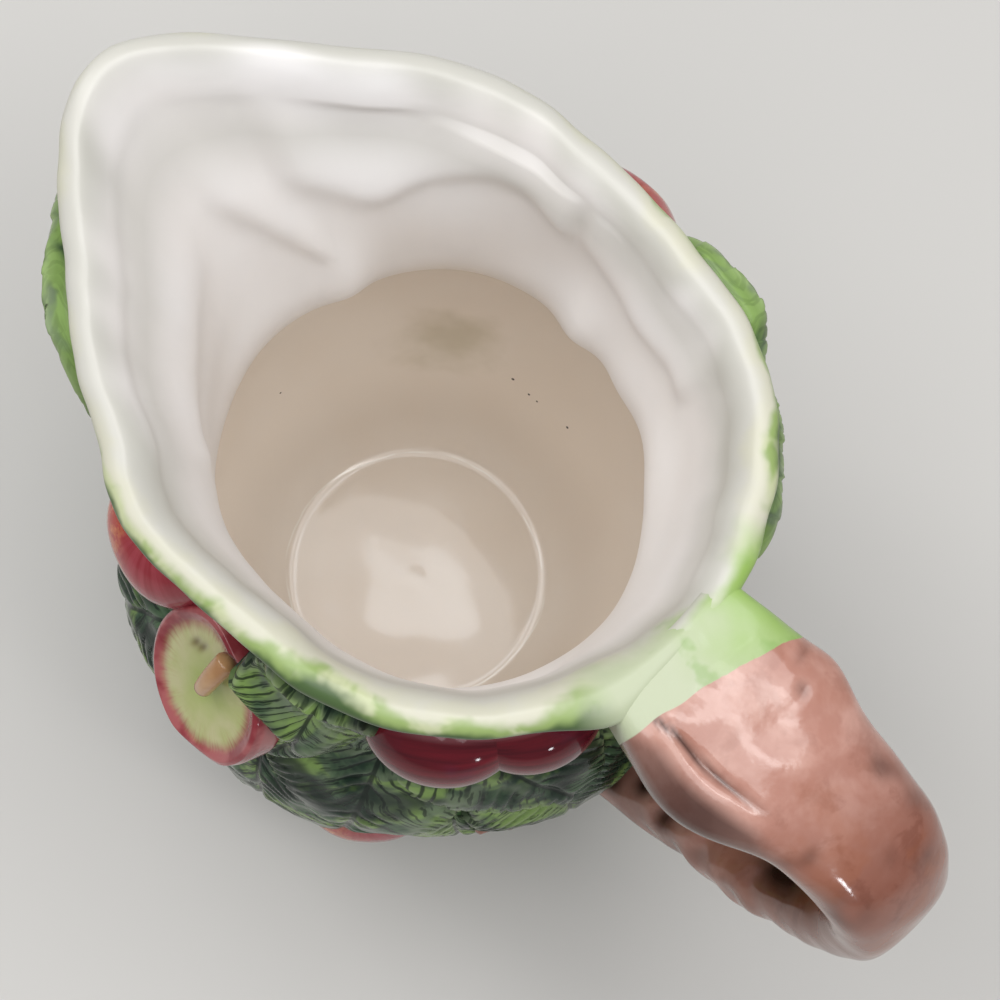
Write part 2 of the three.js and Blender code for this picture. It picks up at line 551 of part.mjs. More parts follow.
// A twig lying on the wall, from the handle's lower joint to its far end
function twig({ bearing, level }, grow = 0) {
  const start = { bearing: HANDLE_BEARING, level: HANDLE_JOINT_HEIGHT };
  const path = new THREE.CatmullRomCurve3(levels(0, 1, TWIG_PLACES).map((t) => {
    const lean = t ** TWIG_SWEEP;
    const spot = radians(start.bearing + (bearing - start.bearing) * t);
    return wallPoint(spot, start.level + (level - start.level) * lean, TWIG_PROUD - TWIG_RADIUS);
  }));
  const section = new THREE.Shape().absarc(0, 0, TWIG_RADIUS + grow, 0, TURN);
  const run = { steps: TWIG_FACETS_ALONG, extrudePath: path, curveSegments: TWIG_FACETS_AROUND };
  return new THREE.ExtrudeGeometry(section, run);
}

const pitcher = new THREE.Group();
pitcher.name = "pitcher";
const wall = solid(wallCutter());
const placed = [];

// Trims a sprig to the wall and to every sprig placed before it, then adds it
function place(name, material, make) {
  const shape = trimmed(solid(make(0)), [wall, ...placed]);
  placed.push(solid(make(SLIP_GAP)).add(solid(make(0))));
  pitcher.add(meshOf(shape, name, material));
}

pitcher.add(meshOf(solid(vessel()), "body", glazes.white));
place("handle", glazes.bark, handle);
for (const [name, spot] of Object.entries(HALF_APPLES)) {
  place(name, glazes.flesh, (grow) => halfApple(spot, grow));
}
for (const [name, spot] of Object.entries(APPLES)) place(name, glazes.apple, (grow) => apple(spot, grow));
for (const [name, spot] of Object.entries(PLUMS)) place(name, glazes.plum, (grow) => plum(spot, grow));
for (const [name, spot] of Object.entries(TWIGS)) place(name, glazes.bark, (grow) => twig(spot, grow));
for (const [name, spot] of Object.entries(LEAVES)) place(name, glazes.leaf, (grow) => leaf(spot, grow));
for (const [name, spot] of Object.entries(HALF_APPLES)) {
  place(`${name}_stalk`, glazes.bark, (grow) => stalk(spot, grow));
}

export default pitcher;
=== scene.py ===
import math

import bpy
import numpy as np
from mathutils import Matrix, Vector


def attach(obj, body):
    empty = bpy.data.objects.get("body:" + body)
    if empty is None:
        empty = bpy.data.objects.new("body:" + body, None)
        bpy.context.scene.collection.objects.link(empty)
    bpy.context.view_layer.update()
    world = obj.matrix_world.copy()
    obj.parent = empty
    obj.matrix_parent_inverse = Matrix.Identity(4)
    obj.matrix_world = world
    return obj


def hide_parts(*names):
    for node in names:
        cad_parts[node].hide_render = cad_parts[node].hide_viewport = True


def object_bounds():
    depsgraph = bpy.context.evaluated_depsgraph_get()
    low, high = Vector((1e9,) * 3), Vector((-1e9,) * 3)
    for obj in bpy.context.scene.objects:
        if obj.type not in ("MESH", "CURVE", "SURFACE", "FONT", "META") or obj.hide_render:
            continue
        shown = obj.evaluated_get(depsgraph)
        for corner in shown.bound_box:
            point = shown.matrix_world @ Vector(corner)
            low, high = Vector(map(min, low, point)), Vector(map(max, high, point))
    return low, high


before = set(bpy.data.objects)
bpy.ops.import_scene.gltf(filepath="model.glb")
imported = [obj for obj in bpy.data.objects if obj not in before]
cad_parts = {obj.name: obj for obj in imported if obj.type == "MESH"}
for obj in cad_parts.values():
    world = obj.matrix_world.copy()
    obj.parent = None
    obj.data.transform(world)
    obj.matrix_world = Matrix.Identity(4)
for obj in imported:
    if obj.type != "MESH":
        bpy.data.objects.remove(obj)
cad_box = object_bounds()

# A glazed majolica pitcher: cast wall, branch handle, and fruit and leaves in relief.
# Sizes are in millimetres until a mesh is made. A place on the wall is a bearing, from +X towards +Y,
# and a level, its height on the pitcher's sides.
MM = 0.001

RIM_HEIGHT = 178.0
RIM_RADIUS = 56.0
HANDLE_RISE = 5.0
SPOUT_RISE = 23.5
SPOUT_REACH = 90.0
SPOUT_BLUNT = 12.5
SPOUT_HALF_ANGLE = math.radians(41.5)
SPOUT_GROWTH = 2.6
RIM_SWOOP = 1.75
RIM_SHARPNESS = 14.0
WALL = 4.5
THROAT_HEIGHT = 130.0
THROAT_RADIUS = 46.0
RIM_FLARE = 1.7
BELLY_HEIGHT = 76.0
BELLY_RADIUS = 63.0
BOWL_FULLNESS = 0.75
FLOOR = 6.0
FOOT_RADIUS = 38.5
FOOT_HEIGHT = 5.0
FOOT_STEP = 1.5
FOOT_CHAMFER = 1.2
LIP_BASE = RIM_HEIGHT - WALL / 2
LIP_THICKNESS = 7.0
LIP_SAG = 4.5
# The fillet at the handle's near side: how far it stands out, its degrees from the handle and its spread
LIP_FILLET = 3.5
FILLET_AT = -19.0
FILLET_SPREAD = 8.0
# How far down the inside the lip's thickness is gathered in
LIP_GATHER = 30.0
# How far down the outside the lip's wander is eased away
LIP_EASE = 14.0
# How much green was brushed over the lip, by bearing
LIP_BRUSH = [
    (-180, -0.6), (-155, -0.5), (-135, 0.0), (-115, 0.12), (-95, 0.24),
    (-80, 0.32), (-60, 0.22), (-45, 0.22), (-26, 0.4),
    (-14, 0.1), (10, 0.05), (40, 0.08), (70, -0.1), (100, -0.45), (180, -0.6),
]
# How many degrees to each side of the handle its green spreads over the lip, and fades
WEB_REACH = 27.0
WEB_FADE = 9.0
# Where the lip was pared out of true: bearing, how far out, spread in degrees
LIP_WANDERS = [(80, -1.2, 18), (-134, -1.8, 7), (-172, -0.6, 12), (104, 0.6, 5)]

HANDLE_BEARING = math.radians(-4.0)
HANDLE_REACH = 125.0
HANDLE_BEND_DROP = 45.0
HANDLE_JOINT_HEIGHT = 58.0
HANDLE_THICKNESS = 15.5
HANDLE_ROOT_WIDTH = 32.0
HANDLE_TOP_WIDTH = 31.0
HANDLE_BEND_WIDTH = 26.0
HANDLE_JOINT_WIDTH = 29.0
HANDLE_TOP_SUNK = 2.0
HANDLE_SPRING = 7.0
HANDLE_SPREAD = 0.1
# The handle starts and ends inside the wall, at these shares of its run
HANDLE_FROM = 0.014
HANDLE_TO = 0.975
# The strand rolled along its near side, and a pinch and a knuckle on its far side: mm, place and spread
HANDLE_ROLL = 8.5
HANDLE_ROLL_AT = 0.105
HANDLE_ROLL_RUN = 0.077
HANDLE_PINCH = 2.5
HANDLE_PINCH_AT = 0.035
HANDLE_PINCH_RUN = 0.03
HANDLE_KNUCKLE = 2.2
HANDLE_KNUCKLE_AT = 0.118
HANDLE_KNUCKLE_RUN = 0.028
# A knot on a low boss: its share of the run
KNOT_AT = 0.107
# Where green gives way to bark: share of the run, and its slant and bow across the handle
GREEN_BORDER = (0.061, 0.00105, 0.00003)

FRUIT_SWELL = 2.5
LEAF_EDGE = 1.7
LEAF_DOME = 2.2
LEAF_LAYER = 1.1
# How much longer and wider a leaf is than its row says, and how far apart its teeth are
LEAF_LONGER = 1.08
LEAF_WIDER = 1.16
TOOTH_PITCH = 6.5
APPLE_TILT = math.radians(35)
HALF_APPLE_TILT = math.radians(18)
HALF_APPLE_PROUD = 13.0
PLUM_STRETCH = 1.25

# bearing, level, radius, how far it is sunk into the wall
APPLES = {
    "apple_left": (-130, 124, 17.5, 0),
    "apple_back": (100, 148, 17.5, 0),
    "apple_low_front": (-64, 56, 17, 11),
    "apple_low_spout": (-158, 76, 18, 11),
    "apple_low_back": (66, 64, 18, 11),
    "apple_low_turn": (160, 84, 18, 10),
}
# bearing, level, radius, turn of the cut face towards rising bearings
HALF_APPLES = {"half_apple_front": (-100, 119, 16.8, -16), "half_apple_back": (128, 123, 18, 8)}
# bearing, level, radius, how far it is sunk into the wall, heading of its long axis
PLUMS = {
    "plum_front_left": (-53, 148, 11.5, 0, 78),
    "plum_front_right": (-33, 149, 10.5, 0, 100),
    "plum_back_left": (50, 126, 11.5, 1, 30),
    "plum_back_right": (33, 120, 11, 2, -15),
    "plum_low_left": (-112, 46, 12, 6, 20),
    "plum_low_right": (-96, 52, 11.5, 6, -30),
}
# bearing and level of the stalk end, heading from straight up towards rising bearings, length, width, layer
LEAVES = {
    "leaf_front_rim": (-78, 166, 187, 60, 28, 3),
    "leaf_front_left": (-62, 140, 214, 58, 33, 2),
    "leaf_front_sweep": (-58, 134, 150, 58, 33, 2),
    "leaf_front_handle": (-18, 160, 195, 54, 29, 1),
    "leaf_front_middle": (-62, 126, 183, 58, 32, 1),
    "leaf_between": (-108, 112, -160, 56, 28, 2),
    "leaf_spout_front": (-141, 165, -89, 32, 20, 3),
    "leaf_spout_back": (140, 160, 88, 38, 26, 2),
    "leaf_under_spout": (178, 112, 2, 58, 32, 1),
    "leaf_spout_low": (-148, 108, -10, 46, 29, 1),
    "leaf_spout_turn": (154, 108, 4, 46, 29, 1),
    "leaf_back_rim": (88, 162, -92, 36, 25, 2),
    "leaf_back_handle": (13, 161, 90, 44, 27, 2),
    "leaf_back_middle": (78, 134, 196, 52, 31, 1),
    "leaf_back_fall": (104, 116, 172, 60, 31, 1),
    "leaf_back_turn": (128, 108, 158, 58, 30, 1),
    "leaf_low_handle": (-26, 108, 178, 58, 31, 1),
    "leaf_low_front": (-86, 92, 178, 60, 31, 1),
    "leaf_low_sweep": (-46, 82, 168, 54, 29, 0),
    "leaf_low_left": (-138, 94, 190, 60, 30, 1),
    "leaf_low_plums": (-104, 42, 180, 30, 25, 0),
    "leaf_low_spout": (-178, 90, 182, 60, 31, 0),
    "leaf_low_turn": (142, 76, 178, 52, 28, 0),
    "leaf_low_back": (44, 104, 186, 64, 32, 1),
    "leaf_low_foot": (90, 68, 192, 46, 27, 0),
    "leaf_handle_back": (20, 112, 172, 50, 28, 0),
}
# Leaves under the lip painted paler and with fewer dark strokes: partly thin pale glaze, partly painted
# light against the shade under the lip
PALE_LEAVES = {
    "leaf_spout_front", "leaf_spout_back", "leaf_back_rim", "leaf_back_handle", "leaf_front_handle",
}
# bearing and level of the far end, from the handle's lower joint
TWIGS = {"twig_front": (-42, 70), "twig_back": (34, 66)}
FRUIT_SEATS = [spot[:3] for group in (APPLES, HALF_APPLES, PLUMS) for spot in group.values()]

# How the inside of the throat leans and puckers: bearing, push out of round, spread in degrees
THROAT_LOBES = [
    (-162, 2.8, 24), (158, -2.4, 7), (145, 1.0, 8), (92, -3.6, 9), (72, -1.5, 10), (44, -5.0, 26),
]
# The lobes' level, and their spread up and down
LOBE_LEVEL = 131.0
LOBE_SPREAD = 15.0
# Soft ridges round the inside of the flare: their line as bearings and levels, and how far they stand in
INSIDE_RIDGES = [
    ([102, 113, 124, 138, 150, 160, 168], [160, 166, 167.5, 162, 156, 160.5, 162], 2.2),
    ([159, 168, 171, 181], [142, 148, 154, 163], 1.8),
    ([52, 62, 80, 104], [159, 160, 156, 164], 1.4),
    ([182, 200, 218, 226], [156, 154.5, 152, 148], 1.2),
]
# The ridges' spread above and below their line, and the taper of their ends in degrees
RIDGE_ABOVE = 8.0
RIDGE_BELOW = 4.2
RIDGE_TAPER = 6.0
# The hollow pressed under the lip: bearing, level, spread round in degrees and up in mm, depth
LIP_HOLLOW = (149, 167, 13, 7, 1.1)
# The bowl rounds into its floor from this level down to this radius
BOWL_CORNER = 28.0
FLOOR_RADIUS = 30.0
# The radius of a thin, broken ring of pale glaze round the floor
FLOOR_RING = 31.2
# Marks fired into the glaze of the bowl: black specks and one olive stain, as bearing, level and radius
SPECKS = [(104.5, 31.5, 0.5), (98.5, 29.5, 0.4), (84, 29, 0.45), (95.5, 29, 0.35), (172, 37, 0.35)]
STAIN = (125, 40, 17)

# The line of the groove behind the handle's strand: shares of the run, and places across it
GROOVE_RUN = [0.03, 0.055, 0.067, 0.088, 0.117, 0.142, 0.16]
GROOVE_ACROSS = [15.4, 14.7, 14.1, 14.4, 13.7, 12.5, 11.5]
# Dark patches on the branch, partly painted shade and partly mottled glaze: share of the run, place across
# it, spread along and across, strength
BARK_SHADES = [
    (0.212, 13.0, 0.012, 3.0, 0.8), (0.31, 12.5, 0.035, 4.0, 0.7), (0.2, -10.0, 0.03, 2.5, 0.45),
    (0.245, -11.5, 0.03, 2.5, 0.5), (0.28, -2.0, 0.012, 3.0, 0.35), (0.33, -6.0, 0.02, 2.5, 0.4),
    (0.09, -12.0, 0.004, 3.0, 0.4),
]
# Painted shade inside the loop and in its crevices near the lower joint: share of the run, degrees round,
# spread along and round, strength
HANDLE_LOOP_SHADE = [
    (0.67, 172, 0.065, 46, 1.0), (0.865, 128, 0.01, 22, 0.6), (0.9, 150, 0.012, 18, 0.7),
    (0.93, 120, 0.01, 20, 0.6),
]
# Two pips on the cut face of an apple: places across it and towards its stalk
PIPS = [(-8.2, 3.4), (-6.4, 4.6)]
# Side veins of a leaf: how far apart they are along the midrib, and how much they lean forward
VEIN_PITCH = 3.8
VEIN_SLANT = 1.5


def unit(vectors):
    return vectors / np.linalg.norm(vectors, axis=-1, keepdims=True)


def hump(value, middle, spread):
    """1 at the middle, falling off as a bell with that spread."""
    return np.exp(-(((value - middle) / spread) ** 2))


def turn_between(bearing, other):
    """Signed angle from one bearing to another, in radians within half a turn."""
    return np.arctan2(np.sin(bearing - other), np.cos(bearing - other))


def degrees_from(bearing, spot):
    """Signed degrees to a bearing from a spot that is given in degrees."""
    return np.degrees(turn_between(bearing, math.radians(spot)))


def eased(share):
    """A share from 0 to 1 with soft ends: three squares less two cubes."""
    return share ** 2 * (3 - 2 * share)


def boxy(value, power=0.75):
    """A sine or cosine pulled towards a square wave by a power below one."""
    return np.sign(value) * np.abs(value) ** power


def ramp(value, start, end, most=1):
    """0 at the start and 1 at the end, even between them, and held beyond the end unless most is None."""
    return np.clip((value - start) / (end - start), 0, most)


def full_turn(count):
    """Even angles round a full turn."""
    return np.linspace(0, 2 * math.pi, count, endpoint=False)


def stacked(*values):
    """Values whose shapes fit together, joined along a new last direction."""
    return np.stack(np.broadcast_arrays(*values), -1)


def turned(girth, height, around):
    """A profile turned round +Z: each ring's girth and height, at the angles round it."""
    return stacked(girth * np.cos(around), girth * np.sin(around), height)


def ripple(points, length, seed, count=7):
    """A smooth uneven field between about -1 and 1: the mean of plane waves of about that length in mm."""
    draw = np.random.default_rng(seed)
    total = np.zeros(points.shape[:-1])
    for _ in range(count):
        way = unit(draw.normal(size=3)) * (2 * math.pi / (length * draw.uniform(0.7, 1.4)))
        total += np.sin(points @ way + draw.uniform(0, 2 * math.pi))
    return total / math.sqrt(count)


def rim_radius(bearing):
    """The rim from above: the soft least of a round bowl with straight sides, two cheeks and a nose."""
    from_spout = np.abs(turn_between(math.pi, bearing))
    facing = math.pi / 2 - SPOUT_HALF_ANGLE
    point = SPOUT_REACH + SPOUT_BLUNT
    power = RIM_SHARPNESS
    nose = (SPOUT_REACH ** -power - 2 * point ** -power) ** (-1 / power)
    near = np.stack([
        np.where(from_spout < math.pi / 2, np.sin(from_spout), 1.0) / RIM_RADIUS,
        np.cos(from_spout - facing) / (point * math.cos(facing)),
        np.cos(from_spout + facing) / (point * math.cos(facing)),
        np.cos(from_spout) / nose,
    ])
    return (np.maximum(near, 0) ** power).sum(0) ** (-1 / power)


def round_radius(level):
    """Outside of the wall away from the spout: a bowl, a waist at the throat and a flare to the rim."""
    neck = FOOT_RADIUS - FOOT_STEP
    climb = ramp(level, FOOT_HEIGHT, BELLY_HEIGHT)
    bowl = neck + (BELLY_RADIUS - neck) * np.sin(math.pi / 2 * climb) ** BOWL_FULLNESS
    climb = ramp(level, BELLY_HEIGHT, THROAT_HEIGHT)
    waist = BELLY_RADIUS - (BELLY_RADIUS - THROAT_RADIUS) * (0.5 - 0.5 * np.cos(math.pi * climb))
    flare = ramp(level, THROAT_HEIGHT, LIP_BASE, None)
    above = THROAT_RADIUS + (RIM_RADIUS - THROAT_RADIUS) * flare ** RIM_FLARE
    return np.where(level < BELLY_HEIGHT, bowl, np.where(level < THROAT_HEIGHT, waist, above))


def swell(bearing, level):
    """The bells that the fruit press through the wall, one at each seat."""
    radius = round_radius(level)
    total = 0.0
    for seat_bearing, seat_level, seat_radius in FRUIT_SEATS:
        across = turn_between(bearing, math.radians(seat_bearing)) * radius
        total = total + FRUIT_SWELL * hump(np.hypot(across, level - seat_level), 0, seat_radius)
    return total


def wall_radius(bearing, level):
    """Outside of the wall: its round radius, drawn out to the spout at the rim, plus the fruits' swell."""
    climb = ramp(level, BELLY_HEIGHT, LIP_BASE, None)
    drawn_out = (rim_radius(bearing) - RIM_RADIUS) * climb ** SPOUT_GROWTH
    return round_radius(level) + drawn_out + swell(bearing, level)


def rim_rise(bearing):
    """How far the lip climbs, towards the spout and a little towards the handle."""
    reach = rim_radius(bearing) * np.cos(bearing)
    slope = np.abs(reach) / np.where(reach < 0, SPOUT_REACH, RIM_RADIUS)
    return np.where(reach < 0, SPOUT_RISE, HANDLE_RISE) * slope ** RIM_SWOOP


def wall_point(bearing, level, push=0.0):
    """A point on the wall, pushed out along the radius.

    The rim's climb grows with the square of the way up from the throat."""
    lift = rim_rise(bearing) * ramp(level, THROAT_HEIGHT, LIP_BASE, None) ** 2
    return turned(wall_radius(bearing, level) + push, level + lift, bearing)


def proud_of_wall(points):
    """How far points stand outside the wall: the climb is solved back for the level, a root of a square."""
    bearing = np.arctan2(points[..., 1], points[..., 0])
    above = np.clip(points[..., 2] - THROAT_HEIGHT, 0, None)
    bow = rim_rise(bearing) / (LIP_BASE - THROAT_HEIGHT) ** 2
    climbed = THROAT_HEIGHT + 2 * above / (1 + np.sqrt(1 + 4 * bow * above))
    level = np.where(above > 0, climbed, points[..., 2])
    return np.hypot(points[..., 0], points[..., 1]) - wall_radius(bearing, level)


def seat_in_wall(points, buried=1.2):
    """Points that would come through the wall are moved out along the radius until they lie inside it."""
    radius = np.hypot(points[..., 0], points[..., 1])
    moved = points.copy()
    moved[..., :2] *= (1 + np.maximum(-buried - proud_of_wall(points), 0) / radius)[..., None]
    return moved


def soft_limit(points):
    """Eases points that near the part's outer box so that they never pass it sideways."""
    knee = 1.0
    low, high = (np.array(corner)[:2] / MM for corner in cad_box)
    flat = points[..., :2]
    flat = np.where(flat > high - knee, high - knee * np.exp((high - knee - flat) / knee), flat)
    flat = np.where(flat < low + knee, low + knee * np.exp((flat - low - knee) / knee), flat)
    return np.concatenate([flat, points[..., 2:]], -1)


def wall_frame(bearing, level):
    """A place on the wall with its directions: across, up, and out as their cross product."""
    step = 0.5
    turn = step / round_radius(level)
    across = unit(wall_point(bearing + turn, level) - wall_point(bearing - turn, level))
    up = unit(wall_point(bearing, level + step) - wall_point(bearing, level - step))
    return wall_point(bearing, level), across, up, unit(np.cross(across, up))


def seat(bearing, level):
    """The place and directions of a seat on the wall, from a bearing in degrees and a level."""
    return wall_frame(math.radians(bearing), level)


def with_ends(values):
    """Three values per point of the rings, and the mean of each end ring for the point that closes it."""
    return np.concatenate([values.reshape(-1, 3), values[:1].mean(1), values[-1:].mean(1)])


def skin(node, slot, rings, first, last, paint, grain=None):
    """A closed skin over rings of points [row, round, xyz], closed by one point at each end.

    paint is three shares per point for the glaze, grain is where its streaks are read."""
    rows, around = rings.shape[:2]
    count = rows * around
    points = soft_limit(np.concatenate([rings.reshape(-1, 3), np.array([first, last], float)])) * MM
    here = np.arange(count).reshape(rows, around)
    beside = np.roll(here, -1, axis=1)
    quads = np.stack([here[:-1], beside[:-1], beside[1:], here[1:]], -1).reshape(-1, 4)
    start = np.stack([np.full(around, count), beside[0], here[0]], -1)
    end = np.stack([np.full(around, count + 1), here[-1], beside[-1]], -1)
    corners = np.concatenate([quads.ravel(), start.ravel(), end.ravel()]).astype(np.int32)
    sizes = np.concatenate([np.full(len(quads), 4), np.full(2 * around, 3)])
    mesh = bpy.data.meshes.new(node)
    mesh.vertices.add(len(points))
    mesh.vertices.foreach_set("co", points.ravel())
    mesh.loops.add(len(corners))
    mesh.loops.foreach_set("vertex_index", corners)
    mesh.polygons.add(len(sizes))
    mesh.polygons.foreach_set("loop_start", (np.cumsum(sizes) - sizes).astype(np.int32))
    mesh.polygons.foreach_set("use_smooth", np.ones(len(sizes), bool))
    mesh.update(calc_edges=True)
    shares = np.concatenate([with_ends(paint), np.ones((len(points), 1))], 1)
    mesh.attributes.new("paint", "FLOAT_COLOR", "POINT").data.foreach_set("color", shares.ravel())
    streaks = with_ends(np.zeros_like(rings) if grain is None else grain)
    mesh.attributes.new("grain", "FLOAT_VECTOR", "POINT").data.foreach_set("vector", streaks.ravel())
    mesh.materials.append(GLAZES[slot])
    piece = bpy.data.objects.new("fired_" + node, mesh)
    bpy.context.scene.collection.objects.link(piece)
    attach(piece, "root")
    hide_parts(node)
    return piece


def colour(code):
    """A written colour such as d9d4cc as linear red, green, blue and alpha."""
    shares = np.array([int(code[i:i + 2], 16) for i in (0, 2, 4)]) / 255
    linear = np.where(shares <= 0.04045, shares / 12.92, ((shares + 0.055) / 1.055) ** 2.4)
    return (*linear.tolist(), 1.0)


class Glaze:
    """A material as a chain of nodes that ends in one glossy shader."""

    def __init__(self, name, coat=0.5, ior=1.5):
        self.material = bpy.data.materials.new(name)
        self.material.use_nodes = True
        self.tree = self.material.node_tree
        self.tree.nodes.clear()
        self.shader = self.node("BsdfPrincipled", {"IOR": ior, "Coat Weight": coat, "Coat Roughness": 0.06})
        self.node("OutputMaterial", {"Surface": self.shader.outputs["BSDF"]})

    def node(self, kind, inputs):
        """A new node of a kind, with the inputs that are given."""
        node = self.tree.nodes.new("ShaderNode" + kind)
        self.feed(node, inputs)
        return node

    def feed(self, node, inputs):
        """Gives inputs another node's output, a written colour or a plain value."""
        for name, value in inputs.items():
            socket = node.inputs[name]
            if isinstance(value, bpy.types.NodeSocket):
                self.tree.links.new(value, socket)
            else:
                socket.default_value = colour(value) if isinstance(value, str) else value

    def attribute(self, name, output):
        """What was stored under a name at the points of the piece."""
        read = self.node("Attribute", {})
        read.attribute_name = name
        return read.outputs[output]

    def paint(self):
        """The three painted shares of the piece."""
        return self.node("SeparateColor", {"Color": self.attribute("paint", "Color")}).outputs[:3]

    def grain(self):
        return self.attribute("grain", "Vector")

    def place(self):
        return self.node("TexCoord", {}).outputs["Object"]

    def parts(self, vector):
        return self.node("SeparateXYZ", {"Vector": vector}).outputs[:3]

    def cloud(self, vector, scale, detail=3.0, rough=0.55, distort=0.0):
        """A soft noise between 0 and 1; the larger its scale, the finer it is."""
        noise = self.node("TexNoise", {"Vector": vector, "Scale": scale, "Detail": detail})
        self.feed(noise, {"Roughness": rough, "Distortion": distort})
        return noise.outputs["Fac"]

    def away(self, vector, point):
        """How far a place is from one point, both in metres."""
        span = self.node("VectorMath", {0: vector, 1: tuple(point)})
        span.operation = "DISTANCE"
        return span.outputs["Value"]

    def step(self, value, low, high, bottom=0.0, top=1.0):
        """Rises smoothly from bottom at low to top at high."""
        rise = self.node("MapRange", dict(enumerate((value, low, high, bottom, top))))
        rise.interpolation_type = "SMOOTHSTEP"
        return rise.outputs["Result"]

    def sum(self, first, second, operation="ADD"):
        result = self.node("Math", {0: first, 1: second})
        result.operation = operation
        return result.outputs["Value"]

    def times(self, first, second):
        return self.sum(first, second, "MULTIPLY")

    def swing(self, value, amount):
        """How far a value is from one half, times an amount."""
        return self.times(self.sum(value, 0.5, "SUBTRACT"), amount)

    def off_line(self, value):
        """How far a value is from the nearest whole number and a half."""
        return self.sum(self.sum(self.sum(value, 0.0, "FRACT"), 0.5, "SUBTRACT"), 0.0, "ABSOLUTE")

    def blend(self, share, first, second):
        mix = self.tree.nodes.new("ShaderNodeMix")
        mix.data_type = "RGBA"
        self.feed(mix, {0: share, 6: first, 7: second})
        return mix.outputs[2]

    def layers(self, base, *coats):
        """Coats brushed over a base, each with its share and its colour."""
        for share, tone in coats:
            base = self.blend(share, base, tone)
        return base

    def fire(self, base, roughness, height, depth):
        """Joins the finished colour, roughness and relief to the shader."""
        bump = self.node("Bump", {"Distance": depth, "Height": height})
        normal = bump.outputs["Normal"]
        self.feed(self.shader, {"Base Color": base, "Roughness": roughness, "Normal": normal})
        return self.material


def web_green(g, place):
    """The green where the handle leaves the rim: whitish, and brighter towards the handle's far side."""
    across = g.sum(g.parts(place)[1], g.swing(g.cloud(place, 70, 2), 0.025))
    green = g.blend(g.step(across, -0.012, 0.013), "b5bd9e", "93b45c")
    return g.blend(g.times(g.step(g.cloud(place, 110, 3), 0.56, 0.66), 0.5), green, "7fa552")


def wall_glaze():
    """White inside and tan deeper down, green brushed over the lip's outside, dark green below it."""
    g = Glaze("wall_glaze", coat=0.0)
    outside, brushed, depth = g.paint()
    place = g.place()
    drift = g.cloud(place, 22, 2)
    white = g.blend(g.step(drift, 0.35, 0.7), "f9f6f4", "f3eeea")
    # Grey over the lip and the top of the inside wall, fading to white lower down: painted shade that evens
    # the lip's stronger light with the walls below
    white = g.blend(g.step(brushed, -0.6, 0.0), white, "cac8bf")
    tan = g.blend(g.step(drift, 0.3, 0.7), "f5ece1", "f1e6d9")
    inside = g.blend(g.step(depth, 0.28, 0.55), white, tan)
    # The floor's glaze is a little darker than the bowl's tan: painted shade that evens the stronger light
    # on the floor
    floor = g.blend(g.step(drift, 0.3, 0.7), "ede4d9", "e8ddd0")
    inside = g.blend(g.step(depth, 0.86, 0.97), inside, floor)

    def inside_spot(bearing, level):
        return wall_point(math.radians(bearing), level, -WALL) * MM

    *middle, spread = STAIN
    ragged = g.swing(g.cloud(place, 60, 3), 0.025)
    off_stain = g.sum(g.away(place, inside_spot(*middle)), ragged)
    stain = g.step(off_stain, 0.1 * spread * MM, spread * MM, 0.42, 0.0)
    inside = g.blend(stain, inside, "a99f72")
    x, y, z = g.parts(place)
    radius = g.sum(g.sum(g.times(x, x), g.times(y, y)), 0.5, "POWER")
    off_ring = g.sum(g.sum(radius, g.swing(g.cloud(place, 26, 3), 0.006)), FLOOR_RING * MM, "SUBTRACT")
    line = g.times(g.step(off_ring, -0.0002, 0.0001), g.step(off_ring, 0.0002, 0.0005, 1.0, 0.0))
    broken = g.step(g.cloud(place, 60, 2), 0.42, 0.5)
    ring = g.times(g.times(line, broken), g.step(depth, 0.8, 0.86))
    inside = g.blend(ring, inside, "f6f1e8")
    for bearing, level, size in SPECKS:
        speck = g.step(g.away(place, inside_spot(bearing, level)), 0.6 * size * MM, size * MM, 0.9, 0.0)
        inside = g.blend(speck, inside, "2a211c")
    dabs = g.cloud(place, 85, 3, 0.6, 0.5)
    green = g.blend(g.step(dabs, 0.42, 0.55), "c0c69e", "92a866")
    edge = g.sum(brushed, g.swing(g.cloud(place, 75, 3), 1.1))
    green = g.blend(g.step(edge, 0.85, 1.15), green, "4b6239")
    cream = g.blend(g.step(edge, 0.15, 0.55), inside, "cbc9b6")
    lip = g.blend(g.step(edge, 0.55, 0.85), cream, green)
    near_handle = g.parts(g.grain())[0]
    dabbed = g.sum(brushed, g.swing(g.cloud(place, 90, 3), 0.8))
    lip = g.blend(g.times(near_handle, g.step(dabbed, 0.0, 0.5)), lip, web_green(g, place))
    # Dark green ground below the lip: partly the glaze's own green, partly painted shade under the lip and
    # around the sprigs
    ground = g.blend(g.step(g.cloud(place, 70, 4, 0.6), 0.38, 0.62), "22392a", "56794a")
    ground = g.blend(g.step(g.cloud(place, 95, 3), 0.55, 0.64), ground, "8fb457")
    body = g.blend(g.step(g.sum(outside, g.swing(dabs, 1.2)), 0.3, 0.7), lip, ground)
    bare = g.step(z, 0.0002, 0.0008, 1.0, 0.0)
    body = g.blend(bare, body, "d8c8ae")
    gloss = g.sum(g.step(depth, 0.25, 0.6, 0.36, 0.12), g.step(depth, 0.93, 0.98, 0.0, 0.07), "SUBTRACT")
    rough = g.sum(gloss, g.times(bare, 0.4))
    pitted = g.times(g.cloud(place, 90, 2), g.step(depth, 0.3, 0.7, 1.0, 0.12))
    return g.fire(body, rough, pitted, 0.0002)


